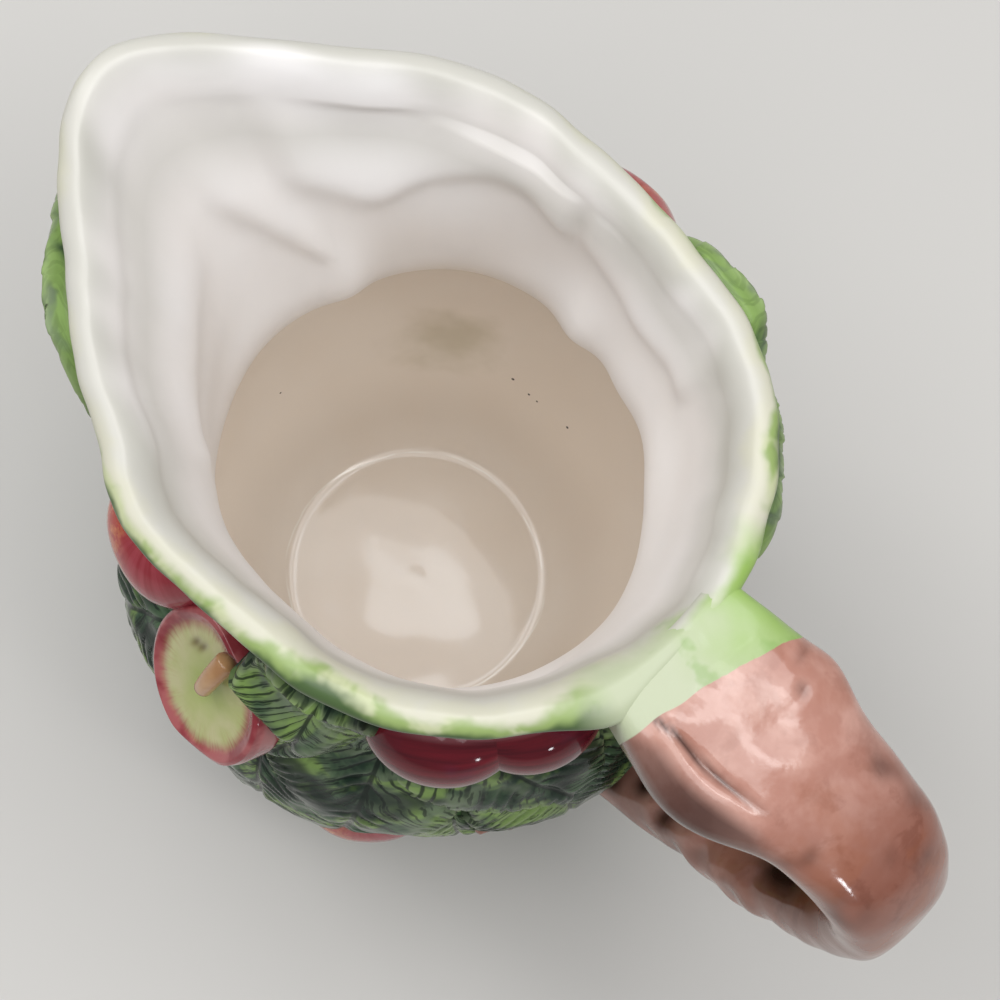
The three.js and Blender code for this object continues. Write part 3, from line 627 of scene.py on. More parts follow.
def bark_glaze():
    """Pinkish brown, darker and rustier away from the rim, with soft mottles; green where it leaves the rim.

    The grain gives how far a piece was left pale tan, as the stalks are, and how near it is to the lip."""
    g = Glaze("bark_glaze", coat=0.25)
    dark_glaze_and_shade, green_share, warm = g.paint()
    place = g.place()
    clouds = g.cloud(place, 70, 4, 0.6, 0.2)
    brown = g.blend(g.step(clouds, 0.38, 0.62), "b48273", "c6998b")
    mottle = g.step(g.cloud(place, 110, 4, 0.6, 0.3), 0.5, 0.62)
    rust = g.step(g.cloud(place, 55, 3, 0.6, 0.3), 0.5, 0.62)
    tan = g.blend(g.step(clouds, 0.35, 0.65), "b08259", "c79f74")
    pale, rimward = g.parts(g.grain())[:2]
    green_share = g.step(green_share, 0.42, 0.58)
    dabbed = g.sum(rimward, g.swing(g.cloud(place, 90, 3), 1.2))
    # Towards the lip the handle's green fades to the lip's grey painted shade
    web = g.blend(g.step(dabbed, 0.25, 0.85, 0.0, 0.85), web_green(g, place), "cac8bf")
    base = g.layers(
        brown,
        (g.times(warm, 0.85), "834b38"),
        (g.times(mottle, g.sum(0.15, g.times(warm, 0.35))), "75402f"),
        (g.times(rust, g.sum(0.15, g.times(warm, 0.25))), "9c5a38"),
        (pale, tan),
        # Dark brown over the handle: painted shade in the loop, its crevices, the groove and the strand's
        # far side, and partly darker glaze at knots and patches
        (dark_glaze_and_shade, "2e1611"),
        (green_share, web),
    )
    rough = g.sum(g.step(clouds, 0.3, 0.75, 0.12, 0.22), g.times(green_share, 0.25))
    return g.fire(base, rough, g.cloud(place, 130, 3), 0.0002)


def apple_glaze():
    """Red with orange and yellow freckles and faint streaks from the stalk, darker towards the underside."""
    g = Glaze("apple_glaze", coat=0.25, ior=1.35)
    down, blush, thin = g.paint()
    place = g.place()
    streak = g.cloud(g.grain(), 5.5, 4, 0.65)
    red = g.blend(g.step(streak, 0.25, 0.75), "96343c", "a74750")
    freckle = g.step(g.cloud(place, 330, 3, 0.7), 0.45, 0.66)
    warm = g.blend(freckle, "b8503f", "d98d58")
    patch = g.step(g.sum(blush, g.swing(g.cloud(place, 60, 3), 0.8)), 0.5, 0.95)
    base = g.layers(
        red,
        (g.times(patch, 0.85), warm),
        (g.step(down, 0.0, 0.16, 0.7, 0.0), "b9a560"),
        (g.step(down, 0.55, 0.95, 0.0, 0.55), "741f2b"),
        (g.times(thin, 0.6), "c98f8c"),
    )
    return g.fire(base, g.step(streak, 0.3, 0.8, 0.1, 0.2), g.cloud(place, 120, 3), 0.0002)


def flesh_glaze():
    """Pale yellow green with thin brown brush marks, inside a red skin border brushed over its edge."""
    g = Glaze("flesh_glaze", coat=0.4, ior=1.35)
    skin_share, core, out = g.paint()
    place = g.place()
    streak = g.cloud(g.grain(), 7.0, 3, 0.6)
    flesh = g.blend(g.step(g.cloud(place, 90, 3), 0.35, 0.65), "b0b673", "c2bf8e")
    marks = g.times(g.step(streak, 0.5, 0.62), g.step(out, 0.45, 0.8))
    red = g.blend(g.step(g.cloud(place, 130, 3), 0.4, 0.6), "8c353c", "ab5f60")
    ragged = g.sum(skin_share, g.swing(streak, 0.3))
    ragged = g.sum(ragged, g.swing(g.cloud(place, 150, 2), 0.5))
    base = g.layers(
        flesh,
        (g.step(out, 0.1, 0.6, 0.7, 0.0), "a1b25a"),
        (g.times(marks, 0.25), "a97a52"),
        (core, "6a5530"),
        (g.step(ragged, 0.1, 0.8), red),
    )
    return g.fire(base, g.step(streak, 0.3, 0.8, 0.12, 0.22), g.cloud(place, 160, 3), 0.0002)


def plum_glaze():
    """Dark red with a violet cast, paler where the glaze ran thin along the edge, and a pale green patch."""
    g = Glaze("plum_glaze", coat=0.4, ior=1.25)
    groove, patch, thin = g.paint()
    place = g.place()
    streak = g.cloud(g.grain(), 4.0, 3, 0.6)
    base = g.layers(
        "561720",
        (g.step(streak, 0.3, 0.7), "741d28"),
        (g.step(g.cloud(place, 70, 3), 0.5, 0.7, 0.0, 0.35), "5a2a45"),
        (groove, "320c16"),
        (g.times(thin, 0.5), "b98085"),
        (patch, "a9c06a"),
    )
    return g.fire(base, g.step(streak, 0.3, 0.8, 0.08, 0.18), g.cloud(place, 120, 3), 0.0002)


def leaf_glaze():
    """Dark green to grey green in patches, cut with dark strokes, thinning to pale green at the edge.

    The grain counts the side veins, one for each whole number, and gives the distance from the midrib."""
    g = Glaze("leaf_glaze", coat=0.15, ior=1.13)
    pool_and_shade, thin, tone = g.paint()
    place = g.place()
    slant, off = g.parts(g.grain())[:2]
    clouds = g.cloud(place, 75, 4, 0.6, 0.5)
    grey = g.step(g.sum(g.cloud(place, 50, 3), g.times(tone, 0.1)), 0.5, 0.66, 0.0, 0.7)
    bright = g.sum(g.cloud(place, 64, 3, 0.55, 0.4), g.times(tone, 0.12))
    bold = g.step(tone, 0.75, 1.0, 0.85, 0.2)
    frayed = g.sum(slant, g.swing(g.cloud(place, 170, 2), 0.8))
    fine = g.step(g.off_line(g.times(frayed, 2.0)), 0.1, 0.2, 0.8, 0.0)
    strokes = g.times(fine, g.step(g.cloud(place, 120, 2), 0.48, 0.56))
    main = g.step(g.off_line(frayed), 0.07, 0.19, 1.0, 0.0)
    veins = g.times(main, g.step(g.cloud(place, 80, 2), 0.43, 0.54))
    midrib = g.step(off, 0.25, 0.6, 1.0, 0.0)
    lines = g.sum(g.sum(strokes, veins, "MAXIMUM"), midrib, "MAXIMUM")
    base = g.layers(
        "263b2e",
        (g.step(clouds, 0.4, 0.6), "4d684a"),
        (grey, "7f9070"),
        (g.step(bright, 0.55, 0.66, 0.0, 0.8), "8cab5c"),
        (g.times(g.step(g.cloud(place, 42, 2), 0.53, 0.62), bold), "1a2b22"),
        (g.times(thin, 0.5), "aebf90"),
        (g.times(lines, bold), "131f19"),
        (g.times(pool_and_shade, bold), "1a2a21"),
    )
    return g.fire(base, g.step(clouds, 0.3, 0.8, 0.1, 0.2), g.cloud(place, 130, 3), 0.0003)


MIXES = (wall_glaze, bark_glaze, apple_glaze, flesh_glaze, plum_glaze, leaf_glaze)
GLAZES = {mix.__name__: mix() for mix in MIXES}


def inside_relief(bearing, level):
    """How the inner wall leaves its even thickness, as a sum of bells.

    Lobes lie round the throat, ridges follow their lines with a sharper underside and tapered ends, and one
    hollow is pressed under the lip."""
    push = np.zeros(np.broadcast(bearing, level).shape)
    at_throat = hump(level, LOBE_LEVEL, LOBE_SPREAD)
    for middle, amount, spread in THROAT_LOBES:
        push = push + amount * hump(degrees_from(bearing, middle), 0, spread) * at_throat
    for bearings, levels, proud in INSIDE_RIDGES:
        middle = (bearings[0] + bearings[-1]) / 2
        local = middle + degrees_from(bearing, middle)
        softened = [np.interp(local + shift, bearings, levels) for shift in (-4, -2, 0, 2, 4)]
        above = level - np.mean(softened, axis=0)
        start = ramp(local, bearings[0], bearings[0] + RIDGE_TAPER)
        end = ramp(local, bearings[-1], bearings[-1] - RIDGE_TAPER)
        profile = np.where(above > 0, hump(above, 0, RIDGE_ABOVE), hump(above, 0, RIDGE_BELOW))
        push = push - proud * profile * eased(start * end)
    spot, height, spread, rise, depth = LIP_HOLLOW
    return push + depth * hump(degrees_from(bearing, spot), 0, spread) * hump(level, height, rise)


def pitcher_wall():
    """Rings carried up the outside, over the round lip and down the inside to the floor.

    The outside is the wall itself with a hammered ground, the inside the wall less its thickness plus its
    relief, rounded into a flat floor."""
    even = full_turn(320)
    bearing = even + 0.3 * np.sin(even)
    foot = [turned(FOOT_RADIUS - 6, 0.0, bearing)]
    for angle in np.linspace(0, math.pi / 2, 5):
        inset = FOOT_CHAMFER * (1 - math.sin(angle))
        foot.append(turned(FOOT_RADIUS - inset, FOOT_CHAMFER * (1 - math.cos(angle)), bearing))
    levels = np.linspace(FOOT_HEIGHT, LIP_BASE, 110)[:, None]
    outer = wall_point(bearing, levels)
    fade = ramp(levels, FOOT_HEIGHT, FOOT_HEIGHT + 6) * ramp(levels, LIP_BASE, LIP_BASE - 10)
    outer = wall_point(bearing, levels, 0.5 * fade * ripple(outer, 9, 3))
    turn = np.linspace(0, math.pi, 30)[1:-1, None]
    edge = wall_point(bearing, LIP_BASE)
    wander = 0.3 * ripple(edge, 26, 21) + 0.2 * ripple(edge, 11, 22)
    for spot, amount, spread in LIP_WANDERS:
        wander = wander + amount * hump(degrees_from(bearing, spot), 0, spread)
    from_handle = np.degrees(turn_between(bearing, HANDLE_BEARING))
    fillet = LIP_FILLET * hump(from_handle, FILLET_AT, FILLET_SPREAD)
    wander = wander + fillet
    thick = LIP_THICKNESS + 0.5 * ripple(edge, 34, 23) + fillet
    followed = ramp(levels, LIP_BASE - LIP_EASE, LIP_BASE) ** 2
    outer = outer + (wander * followed)[..., None] * unit(edge * (1, 1, 0))
    sagging = LIP_SAG * np.where(turn > math.pi / 2, 1 - np.sin(turn), 0)
    lip = wall_point(bearing, LIP_BASE - sagging, wander + thick / 2 * (np.cos(turn) - 1))
    lip[..., 2] += WALL / 2 * np.sin(turn)
    down = np.linspace(LIP_BASE - LIP_SAG, BOWL_CORNER, 130)[:, None]
    gather = (wander - thick + WALL) * hump(down, LIP_BASE, LIP_GATHER)
    inner = wall_point(bearing, down, -WALL + gather + inside_relief(bearing, down))
    corner_radius = wall_radius(bearing, BOWL_CORNER) - WALL
    slope = wall_radius(bearing, BOWL_CORNER + 1) - WALL - corner_radius
    heel = corner_radius - slope * (BOWL_CORNER - FLOOR)
    bend = np.linspace(0, 1, 30)[1:, None]
    radius = (1 - bend) ** 2 * corner_radius + 2 * bend * (1 - bend) * heel + bend ** 2 * FLOOR_RADIUS
    rounded = turned(radius, FLOOR + (BOWL_CORNER - FLOOR) * (1 - bend) ** 2, bearing)
    inward = np.linspace(FLOOR_RADIUS, 2, 22)[1:, None]
    floor = turned(inward, FLOOR, bearing)
    floor[..., 2] += 0.035 * ramp(inward, FLOOR_RADIUS, FLOOR_RADIUS - 6) * ripple(floor, 24, 51)
    rings = np.concatenate([np.array(foot), outer, lip, inner, rounded, floor])

    bottom = len(rounded) + len(floor)
    below_lip = ramp(levels[:, 0], LIP_BASE - 3, LIP_BASE - 9)
    outside = np.concatenate([np.ones(len(foot)), below_lip, np.zeros(len(lip) + len(inner) + bottom)])
    over_lip = 1 - turn[:, 0] / math.pi * 1.15
    past_lip = -0.15 - (LIP_BASE - LIP_SAG - down[:, 0]) / 30
    brushed = np.concatenate([np.ones(len(foot) + len(outer)), over_lip, past_lip, np.full(bottom, -6.0)])
    height = rings[..., 2]
    deep = ramp(height, LIP_BASE, FLOOR)
    brush = np.interp(np.degrees(turn_between(bearing, 0)), *zip(*LIP_BRUSH))
    brush = brush + 0.15 * ripple(edge, 40, 41) + 0.1 * ripple(edge, 14, 42)
    green = brushed[:, None] + brush * ramp(brushed[:, None], -0.3, 0)
    paint = stacked(outside[:, None], green, deep)
    near_handle = ramp(np.abs(from_handle), WEB_REACH, WEB_REACH - WEB_FADE)
    grain = stacked(near_handle, height, 0.0)
    return skin("body", "wall_glaze", rings, (0, 0, 0), (0, 0, FLOOR), paint, grain)


def handle_line(t):
    """A cubic curve from the rim, out to the bend and back to the lower joint, with its unit tangent."""
    crest = RIM_HEIGHT + HANDLE_RISE - HANDLE_TOP_SUNK
    root = np.array([RIM_RADIUS - 2 * WALL, crest - HANDLE_THICKNESS / 2])
    joint = np.array([round_radius(HANDLE_JOINT_HEIGHT) - 2 * WALL, HANDLE_JOINT_HEIGHT])
    bend = np.array([HANDLE_REACH - HANDLE_THICKNESS / 2, RIM_HEIGHT - HANDLE_BEND_DROP])
    pull = (8 * bend[0] - root[0] - joint[0]) / 6
    high = root[1] + HANDLE_SPRING
    low = (8 * bend[1] - root[1] - joint[1]) / 3 - high
    first, last = np.array([pull, high]), np.array([pull, low])
    point = (1 - t) ** 3 * root + 3 * (1 - t) ** 2 * t * first + 3 * (1 - t) * t ** 2 * last + t ** 3 * joint
    way = (1 - t) ** 2 * (first - root) + 2 * (1 - t) * t * (last - first) + t ** 2 * (joint - last)
    return point, unit(way)


def branch_handle():
    """A boxy section carried round the loop.

    Its sides spread at both joints, a rolled strand lies along its near side behind a groove, and knots and
    lumps are bells added to the section. Both ends are bent to the round of the wall, and the top is brought
    level with the lip where it leaves it."""
    t = np.linspace(HANDLE_FROM, HANDLE_TO, 250)[:, None]
    angle = full_turn(120)[None]
    point, way = handle_line(t)
    outward = stacked(-way[:, 1], way[:, 0])
    spread = (HANDLE_ROOT_WIDTH - HANDLE_TOP_WIDTH) * hump(t, 0, HANDLE_SPREAD)
    waist = HANDLE_BEND_WIDTH - (HANDLE_TOP_WIDTH + HANDLE_JOINT_WIDTH) / 2
    arms = HANDLE_TOP_WIDTH + (HANDLE_JOINT_WIDTH - HANDLE_TOP_WIDTH) * t
    width = arms + spread + waist * np.sin(math.pi * t) ** 2
    root = hump(t, 0.02, 0.035)
    near = np.maximum(np.sin(angle), 0)
    far = np.maximum(-np.sin(angle), 0)
    strand = HANDLE_ROLL * hump(t, HANDLE_ROLL_AT, HANDLE_ROLL_RUN) * near
    pinch = -HANDLE_PINCH * hump(t, HANDLE_PINCH_AT, HANDLE_PINCH_RUN) * far
    knuckle = HANDLE_KNUCKLE * hump(t, HANDLE_KNUCKLE_AT, HANDLE_KNUCKLE_RUN) * far
    tuck = 1 - 0.4 * hump(t, 0.01, 0.012)
    side = boxy(np.sin(angle)) * (width / 2 + strand + pinch + knuckle) * tuck
    lift = boxy(np.cos(angle), 0.75 - 0.45 * root) * HANDLE_THICKNESS / 2
    top = np.clip(np.cos(angle), 0, 1) ** 0.5
    groove_at = np.interp(t, GROOVE_RUN, GROOVE_ACROSS)
    groove_ends = ramp(t, 0.043, 0.053) * ramp(t, 0.165, 0.115)
    groove = hump(side, groove_at, 0.7) * top * groove_ends
    knot = hump(t, KNOT_AT, 0.006) * hump(side, -7.5, 1.4) * top
    rolled = hump(side, groove_at + 4, 3) * top * hump(t, 0.1, 0.05)
    boss = 0.9 * hump(t, KNOT_AT, 0.03) * hump(side, -9, 5) * top
    lift = lift - 1.3 * groove - 0.4 * knot + rolled + boss
    cos, sin = math.cos(HANDLE_BEARING), math.sin(HANDLE_BEARING)
    out = point[:, None, 0] + outward[:, None, 0] * lift
    up = point[:, None, 1] + outward[:, None, 1] * lift
    aside = -side
    root_round = RIM_RADIUS - np.sqrt(np.maximum(RIM_RADIUS ** 2 - aside ** 2, 0))
    joint_round = BELLY_RADIUS - np.sqrt(np.maximum(BELLY_RADIUS ** 2 - aside ** 2, 0))
    out = out - root_round * np.exp(-np.maximum(t - 0.03, 0) / 0.035)
    out = out - joint_round * np.exp(-(HANDLE_TO - t) / 0.04)
    rings = stacked(cos * out - sin * aside, sin * out + cos * aside, up)
    bearing = np.arctan2(rings[..., 1], rings[..., 0])
    beyond = np.hypot(rings[..., 0], rings[..., 1]) - rim_radius(bearing) + LIP_THICKNESS / 2
    flush = ramp(beyond, -2.6, 0) * ramp(beyond, 24, 8) * (t < 0.3)
    rings[..., 2] += eased(flush) * top * (RIM_HEIGHT + rim_rise(bearing) - rings[..., 2])
    middle = rings.mean(1, keepdims=True)
    lumps = 0.4 * ripple(rings, 13, 5) + 0.5 * ripple(rings, 30, 8)
    lower = ramp(t, 0.6, 0.75)
    knotty = 0.35 * lower * ramp(t, 0.93, 0.87) * ripple(rings, 8, 9)
    lumps = lumps * (0.4 + 0.4 * lower) + knotty
    rings = rings + unit(rings - middle) * lumps[..., None]
    rings[..., 0] = np.minimum(rings[..., 0], HANDLE_REACH - 0.4)
    shade, loop_shade = 0.0, 0.0
    for run, place, along, across, amount in BARK_SHADES:
        shade = shade + amount * hump(t, run, along) * hump(side, place, across)
    # Painted shade inside the loop where the upper arm hides it, and in crevices near the lower joint
    for run, place, along, around, amount in HANDLE_LOOP_SHADE:
        loop_shade = loop_shade + amount * hump(t, run, along) * hump(np.degrees(angle), place, around)
    shade = shade * top * (0.7 + 0.5 * ripple(rings, 9, 31))
    shaded_side = 0.85 * ramp(side - groove_at, 2.5, 5.5) * hump(t, 0.12, 0.09)
    # Darker in the dips between the lower arm's lumps as painted shade, with a random darker mottle
    pitted = 0.4 * np.clip(-lumps, 0, 1) + 0.25 * np.clip(ripple(rings, 11, 35), 0, 1)
    dark_glaze_and_shade = np.clip(groove + 0.5 * knot + lower * pitted + shade + loop_shade + shaded_side, 0, 1)
    start, slant, bow = GREEN_BORDER
    border = start + slant * aside + bow * aside ** 2 + 0.0007 * ripple(rings, 9, 33)
    green = ramp(t - border, 0.003, -0.003)
    # The lower arm is kept paler: partly its pinker glaze, partly painted light against the upper arm's
    # shade
    warm = ramp(t, 0.15, 0.31) * (1 - 0.7 * lower)
    paint = stacked(dark_glaze_and_shade, green, warm)
    rimward = ramp(beyond, 1.5, -2.5)
    grain = stacked(0.0, rimward, 0.0)
    return skin("handle", "bark_glaze", rings, rings[0].mean(0), rings[-1].mean(0), paint, grain)


def seated(points, place, axis, aside):
    """Points made about the origin, set on the wall with their +Z along the axis."""
    side = unit(np.cross(aside, axis))
    front = np.cross(side, axis)
    return points @ np.stack([front, side, axis]) + place


def apple(name, bearing, level, radius, sunk):
    """A profile turned round the stalk: a flattened sphere, full-shouldered, with a dimple and five lobes.

    The deeper it is sunk, the shallower its dimple, so that its shoulder meets the wall in one round."""
    angle = np.linspace(math.pi, 0, 72)[1:-1, None]
    around = full_turn(96)[None]
    lobes = 1 + 0.018 * np.cos(5 * around) * np.sin(angle)
    girth = radius * np.sin(angle) * (1 + 0.07 * np.cos(angle)) * lobes
    dip = 0.22 * (1 - sunk / 12)
    dimple = dip * hump(angle, 0, math.radians(24))
    eye = 0.12 * hump(angle, math.pi, 0.3)
    height = radius * (0.9 * np.cos(angle) - dimple + eye)
    shape = turned(girth, height, around)
    place, across, up, out = seat(bearing, level)
    stem = up * math.cos(APPLE_TILT) + out * math.sin(APPLE_TILT)
    place = place - out * sunk
    ends = np.array([[0, 0, radius * -0.78], [0, 0, radius * (0.9 - dip)]])
    rings = seated(shape, place, stem, across)
    ends = seat_in_wall(seated(ends, place, stem, across))
    thin = hump(proud_of_wall(rings), 1.0, 1.3)
    rings = seat_in_wall(rings)
    down = angle / math.pi
    blush = 0.5 + 0.5 * np.cos(around - 0.8) * np.sin(angle)
    paint = stacked(down, blush, thin)
    grain = turned(1.5, 0.35 * down, around)
    return skin(name, "apple_glaze", rings, ends[0], ends[1], paint, grain)


def half_apple_frame(bearing, level, turn):
    """The middle of the cut face with its directions: across, towards the stalk, and out of the face."""
    place, across, up, out = seat(bearing, level)
    swing = math.radians(turn)
    aside = across * math.cos(swing) - out * math.sin(swing)
    facing = np.cross(aside, up) * math.cos(HALF_APPLE_TILT) + up * math.sin(HALF_APPLE_TILT)
    return place + out * HALF_APPLE_PROUD, aside, np.cross(facing, aside), facing


def half_apple(name, bearing, level, radius, turn):
    """Rings from the back of the skin to the middle of the cut face.

    The outline is a circle with a dip at the stalk; the face is dished inside a raised skin edge, with two
    small pips cut beside the core."""
    run = np.linspace(0, 1, 96)[:, None]
    angle = full_turn(144)[None]
    knots = [0, 0.2, 0.34, 0.40, 0.44, 0.48, 0.54, 1]
    share = np.interp(run, knots, [0.6, 1.0, 1.0, 0.97, 0.92, 0.87, 0.8, 0.02])
    depth = np.interp(run, knots, [-1.0, -0.42, -0.12, -0.01, 0.02, 0.0, -0.035, -0.05])
    around = turn_between(angle, math.pi / 2)
    dip = 1 - 0.16 * hump(around, 0, math.radians(26)) * np.clip(share * 1.2, 0, 1)
    size = radius * share * dip
    face = run > 0.46
    flat_x, flat_y = size * np.cos(angle), size * np.sin(angle)
    pips = sum(hump(flat_x, x, 0.9) * hump(flat_y - 0.5 * (flat_x - x), y, 1.8) for x, y in PIPS)
    core = np.where(face, np.clip(0.8 * pips, 0, 1), 0)
    height = radius * depth - 0.5 * core
    shape = stacked(flat_x, flat_y, height)
    middle, across, upward, facing = half_apple_frame(bearing, level, turn)
    basis = np.stack([across, upward, facing])
    rings = seat_in_wall(shape @ basis + middle)
    ends = seat_in_wall(np.array([[0, 0, -radius], [0, 0, -0.05 * radius]]) @ basis + middle)
    red = np.where(run < 0.42, 1.2, ramp(share, 0.62, 0.92))
    paint = stacked(red, core, np.where(face, share, 1))
    grain = turned(3.0, 0.35 * share, angle)
    return skin(name, "flesh_glaze", rings, ends[0], ends[1], paint, grain)


def tube(path, radius, around):
    """A round section carried along a path of points, squared to the path at each of them."""
    way = unit(np.gradient(path, axis=0))
    over = unit(np.cross(way, np.cross(np.array([0.3, 0.2, 1.0]), way)))
    across = np.cross(over, way)
    angle = full_turn(around)[None, :, None]
    section = np.cos(angle) * across[:, None] + np.sin(angle) * over[:, None]
    return path[:, None] + radius[:, None, None] * section


def stalk(name, bearing, level, radius, turn):
    """A short tapered tube on the cut face, bowed a little, with a cut end."""
    run = np.linspace(0, 1, 26)
    middle, across, upward, facing = half_apple_frame(bearing, level, turn)
    aside = 0.8 * np.sin(2 * run)
    along = radius * 0.5 + 6.3 * (1 - 2 * run)
    over = 1.9 + 1.1 * np.sin(math.pi * run)
    path = middle + stacked(aside, along, over) @ np.stack([across, upward, facing])
    ends = ramp(np.minimum(run, 1 - run), 0, 0.06) ** 0.5
    rings = tube(path, (2.4 - 0.5 * run) * (0.25 + 0.75 * ends), 32)
    dark_glaze_and_shade = ramp(run, 0.84, 0.96)[:, None] * np.ones((1, 32))
    paint = stacked(0.6 * dark_glaze_and_shade, 0.0, 0.1)
    tan = np.ones_like(rings)
    return skin(name + "_stalk", "bark_glaze", rings, path[0], path[-1], paint, tan)


def plum(name, bearing, level, radius, sunk, heading):
    """An ellipsoid drawn to a slight point, with a groove down one side."""
    angle = np.linspace(math.pi, 0, 60)[1:-1, None]
    around = full_turn(84)[None]
    groove = hump(turn_between(around, 0.9), 0, 0.16) * np.sin(angle) ** 0.5
    girth = radius * np.sin(angle) * (1 - 0.06 * groove)
    height = radius * PLUM_STRETCH * (np.cos(angle) + 0.04 * np.cos(angle) ** 5)
    shape = turned(girth, height, around)
    place, across, up, out = seat(bearing, level)
    turn = math.radians(heading)
    axis = up * math.cos(turn) + across * math.sin(turn)
    place = place - out * sunk
    rings = seated(shape, place, axis, out)
    thin = hump(proud_of_wall(rings), 2.4, 0.6)
    rings = seat_in_wall(rings)
    tips = np.array([[0, 0, -1.04], [0, 0, 1.04]]) * radius * PLUM_STRETCH
    ends = seat_in_wall(seated(tips, place, axis, out))
    down = angle / math.pi
    patch = np.clip(1.6 * hump(down, 0.93, 0.07) * (0.5 + 0.5 * np.cos(3 * around)) - 0.3, 0, 1)
    paint = stacked(0.7 * groove, patch, thin)
    grain = turned(1.2, 0.4 * down, around)
    return skin(name, "plum_glaze", rings, ends[0], ends[1], paint, grain)


def twig(name, bearing, level):
    """A knotty tube along the wall from the handle's lower joint, thinner towards its far end."""
    run = np.linspace(0, 1, 90)
    start = math.degrees(HANDLE_BEARING)
    along = np.radians(start + (bearing - start) * run)
    path = wall_point(along, HANDLE_JOINT_HEIGHT + (level - HANDLE_JOINT_HEIGHT) * run ** 1.5, 1.0)
    knots = sum(hump(run, middle, 0.025) for middle in (0.35, 0.58, 0.8))
    radius = (3.9 - 0.9 * run + 0.7 * knots) * np.clip((1 - run) / 0.03, 0.2, 1) ** 0.5
    rings = tube(path, radius, 40)
    rings = rings + unit(rings - path[:, None]) * (0.35 * ripple(rings, 6, 12))[..., None]
    dark_glaze_and_shade = np.broadcast_to(0.5 * hump(run, 0.37, 0.02)[:, None], rings.shape[:2])
    paint = stacked(dark_glaze_and_shade, 0.0, 1.0)
    return skin(name, "bark_glaze", rings, path[0], path[-1], paint)


def leaf(name, bearing, level, heading, length, width, layer, seed):
    """A leaf that follows the wall.

    Half width: a sine of the run along the leaf, with shallow saw teeth. Height: a dome, a groove along
    the midrib, side veins cut as slanted grooves, a wavy edge that rounds down to the wall, and near a half
    apple a lift that carries the leaf up its skin."""
    draw = np.random.default_rng(seed)
    length, width = LEAF_LONGER * length, LEAF_WIDER * width
    run = np.linspace(0, 1, 142)[1:-1, None]
    across = np.linspace(-1, 1, 61)[None]
    teeth = (run * length / TOOTH_PITCH + draw.uniform()) % 1
    edge = np.sin(math.pi * run ** 0.75) ** 0.9
    half = width / 2 * edge * (1 + 0.06 * (0.5 - teeth) * np.clip(4 * edge, 0, 1))
    bend = draw.uniform(-0.14, 0.14) * width * np.sin(math.pi * run)
    aside = across * half
    field = stacked(aside, run * length, 60.0 * seed)
    pitch = VEIN_PITCH * draw.uniform(0.85, 1.25)
    slant = (run * length - VEIN_SLANT * np.abs(aside)) / pitch + 0.3 * ripple(field, 16, 70)
    strength = np.clip(0.5 + 0.6 * ripple(field, 11, 71), 0, 1)
    inner = ramp(np.abs(aside), 0, 2) * ramp(np.abs(across), 1, 0.9)
    veins = hump(np.abs((slant % 1) - 0.5), 0, 0.14) * strength * inner
    lumps = ripple(field, 8, 72) * (1 - across ** 2)
    rib = hump(aside, 0, 0.7) * ramp(run, 1, 0.8)
    dome = LEAF_DOME * np.sin(math.pi * run) * (1 - across ** 2)
    ruffle = np.sin(2 * math.pi * (1.9 * run + draw.uniform()) + 1.5 * across)
    wave = across ** 2 * ruffle * np.sin(math.pi * run)
    round_off = (LEAF_EDGE + 0.6) * ramp(np.abs(across), 0.88, 1) ** 2
    top = 0.4 + LEAF_EDGE + LEAF_LAYER * layer + dome + wave + 0.25 * lumps - 0.7 * veins - 0.7 * rib
    top = np.maximum(top - round_off, 0.3)
    under = np.linspace(1, -1, 7)[None]
    aside_all = np.concatenate([aside, under * half], 1)
    height_all = np.concatenate([top, np.full((len(run), 7), -2.5)], 1)
    forward = np.broadcast_to(run * length, aside_all.shape)
    turn = math.radians(heading)

    def lay(sideways, ahead, height):
        away = sideways * math.cos(turn) + ahead * math.sin(turn)
        climb = ahead * math.cos(turn) - sideways * math.sin(turn)
        spot = math.radians(bearing) + away / round_radius(level)
        at, _, _, out = wall_frame(spot, np.minimum(level + climb, LIP_BASE - 1.5))
        lift = 0.0
        for seat_bearing, seat_level, seat_radius, _ in HALF_APPLES.values():
            gap = turn_between(spot, math.radians(seat_bearing)) * round_radius(seat_level)
            lift = lift + 7 * hump(np.hypot(gap, level + climb - seat_level - 4), seat_radius, 7)
        return at + out * (height + np.where(height > 0, lift * (layer > 2), 0))[..., None]

    rings = seat_in_wall(lay(aside_all + bend, forward, height_all))
    tips = seat_in_wall(lay(np.array([0.0, 0.0]), np.array([0.0, length]), np.array([0.6, 0.6])))
    blank = np.zeros((len(run), 7))
    # Dark along the side veins and along the edge where the leaf meets the wall: partly pooled glaze, partly
    # painted shade
    pool_and_shade = np.concatenate([np.clip(0.4 * veins + 0.6 * hump(np.abs(across), 1, 0.06), 0, 1), blank], 1)
    thin = np.concatenate([0.8 * hump(np.abs(across), 0.92, 0.05) * np.ones_like(run), blank], 1)
    # Pale leaves get a lighter tone, fewer dark strokes and less dark edge: partly pale glaze, partly
    # painted light under the lip
    paint = stacked(pool_and_shade, thin, draw.uniform(0, 0.7) + (name in PALE_LEAVES))
    vein_count = np.concatenate([slant, blank], 1)
    grain = stacked(vein_count, np.abs(aside_all), float(seed))
    return skin(name, "leaf_glaze", rings, tips[0], tips[1], paint, grain)


pitcher_wall()
branch_handle()
for name, spot in APPLES.items():
    apple(name, *spot)
for name, spot in HALF_APPLES.items():
    half_apple(name, *spot)
    stalk(name, *spot)
for name, spot in PLUMS.items():
    plum(name, *spot)
for name, spot in TWIGS.items():
    twig(name, *spot)
for number, (name, spot) in enumerate(LEAVES.items()):
    leaf(name, *spot, seed=number)


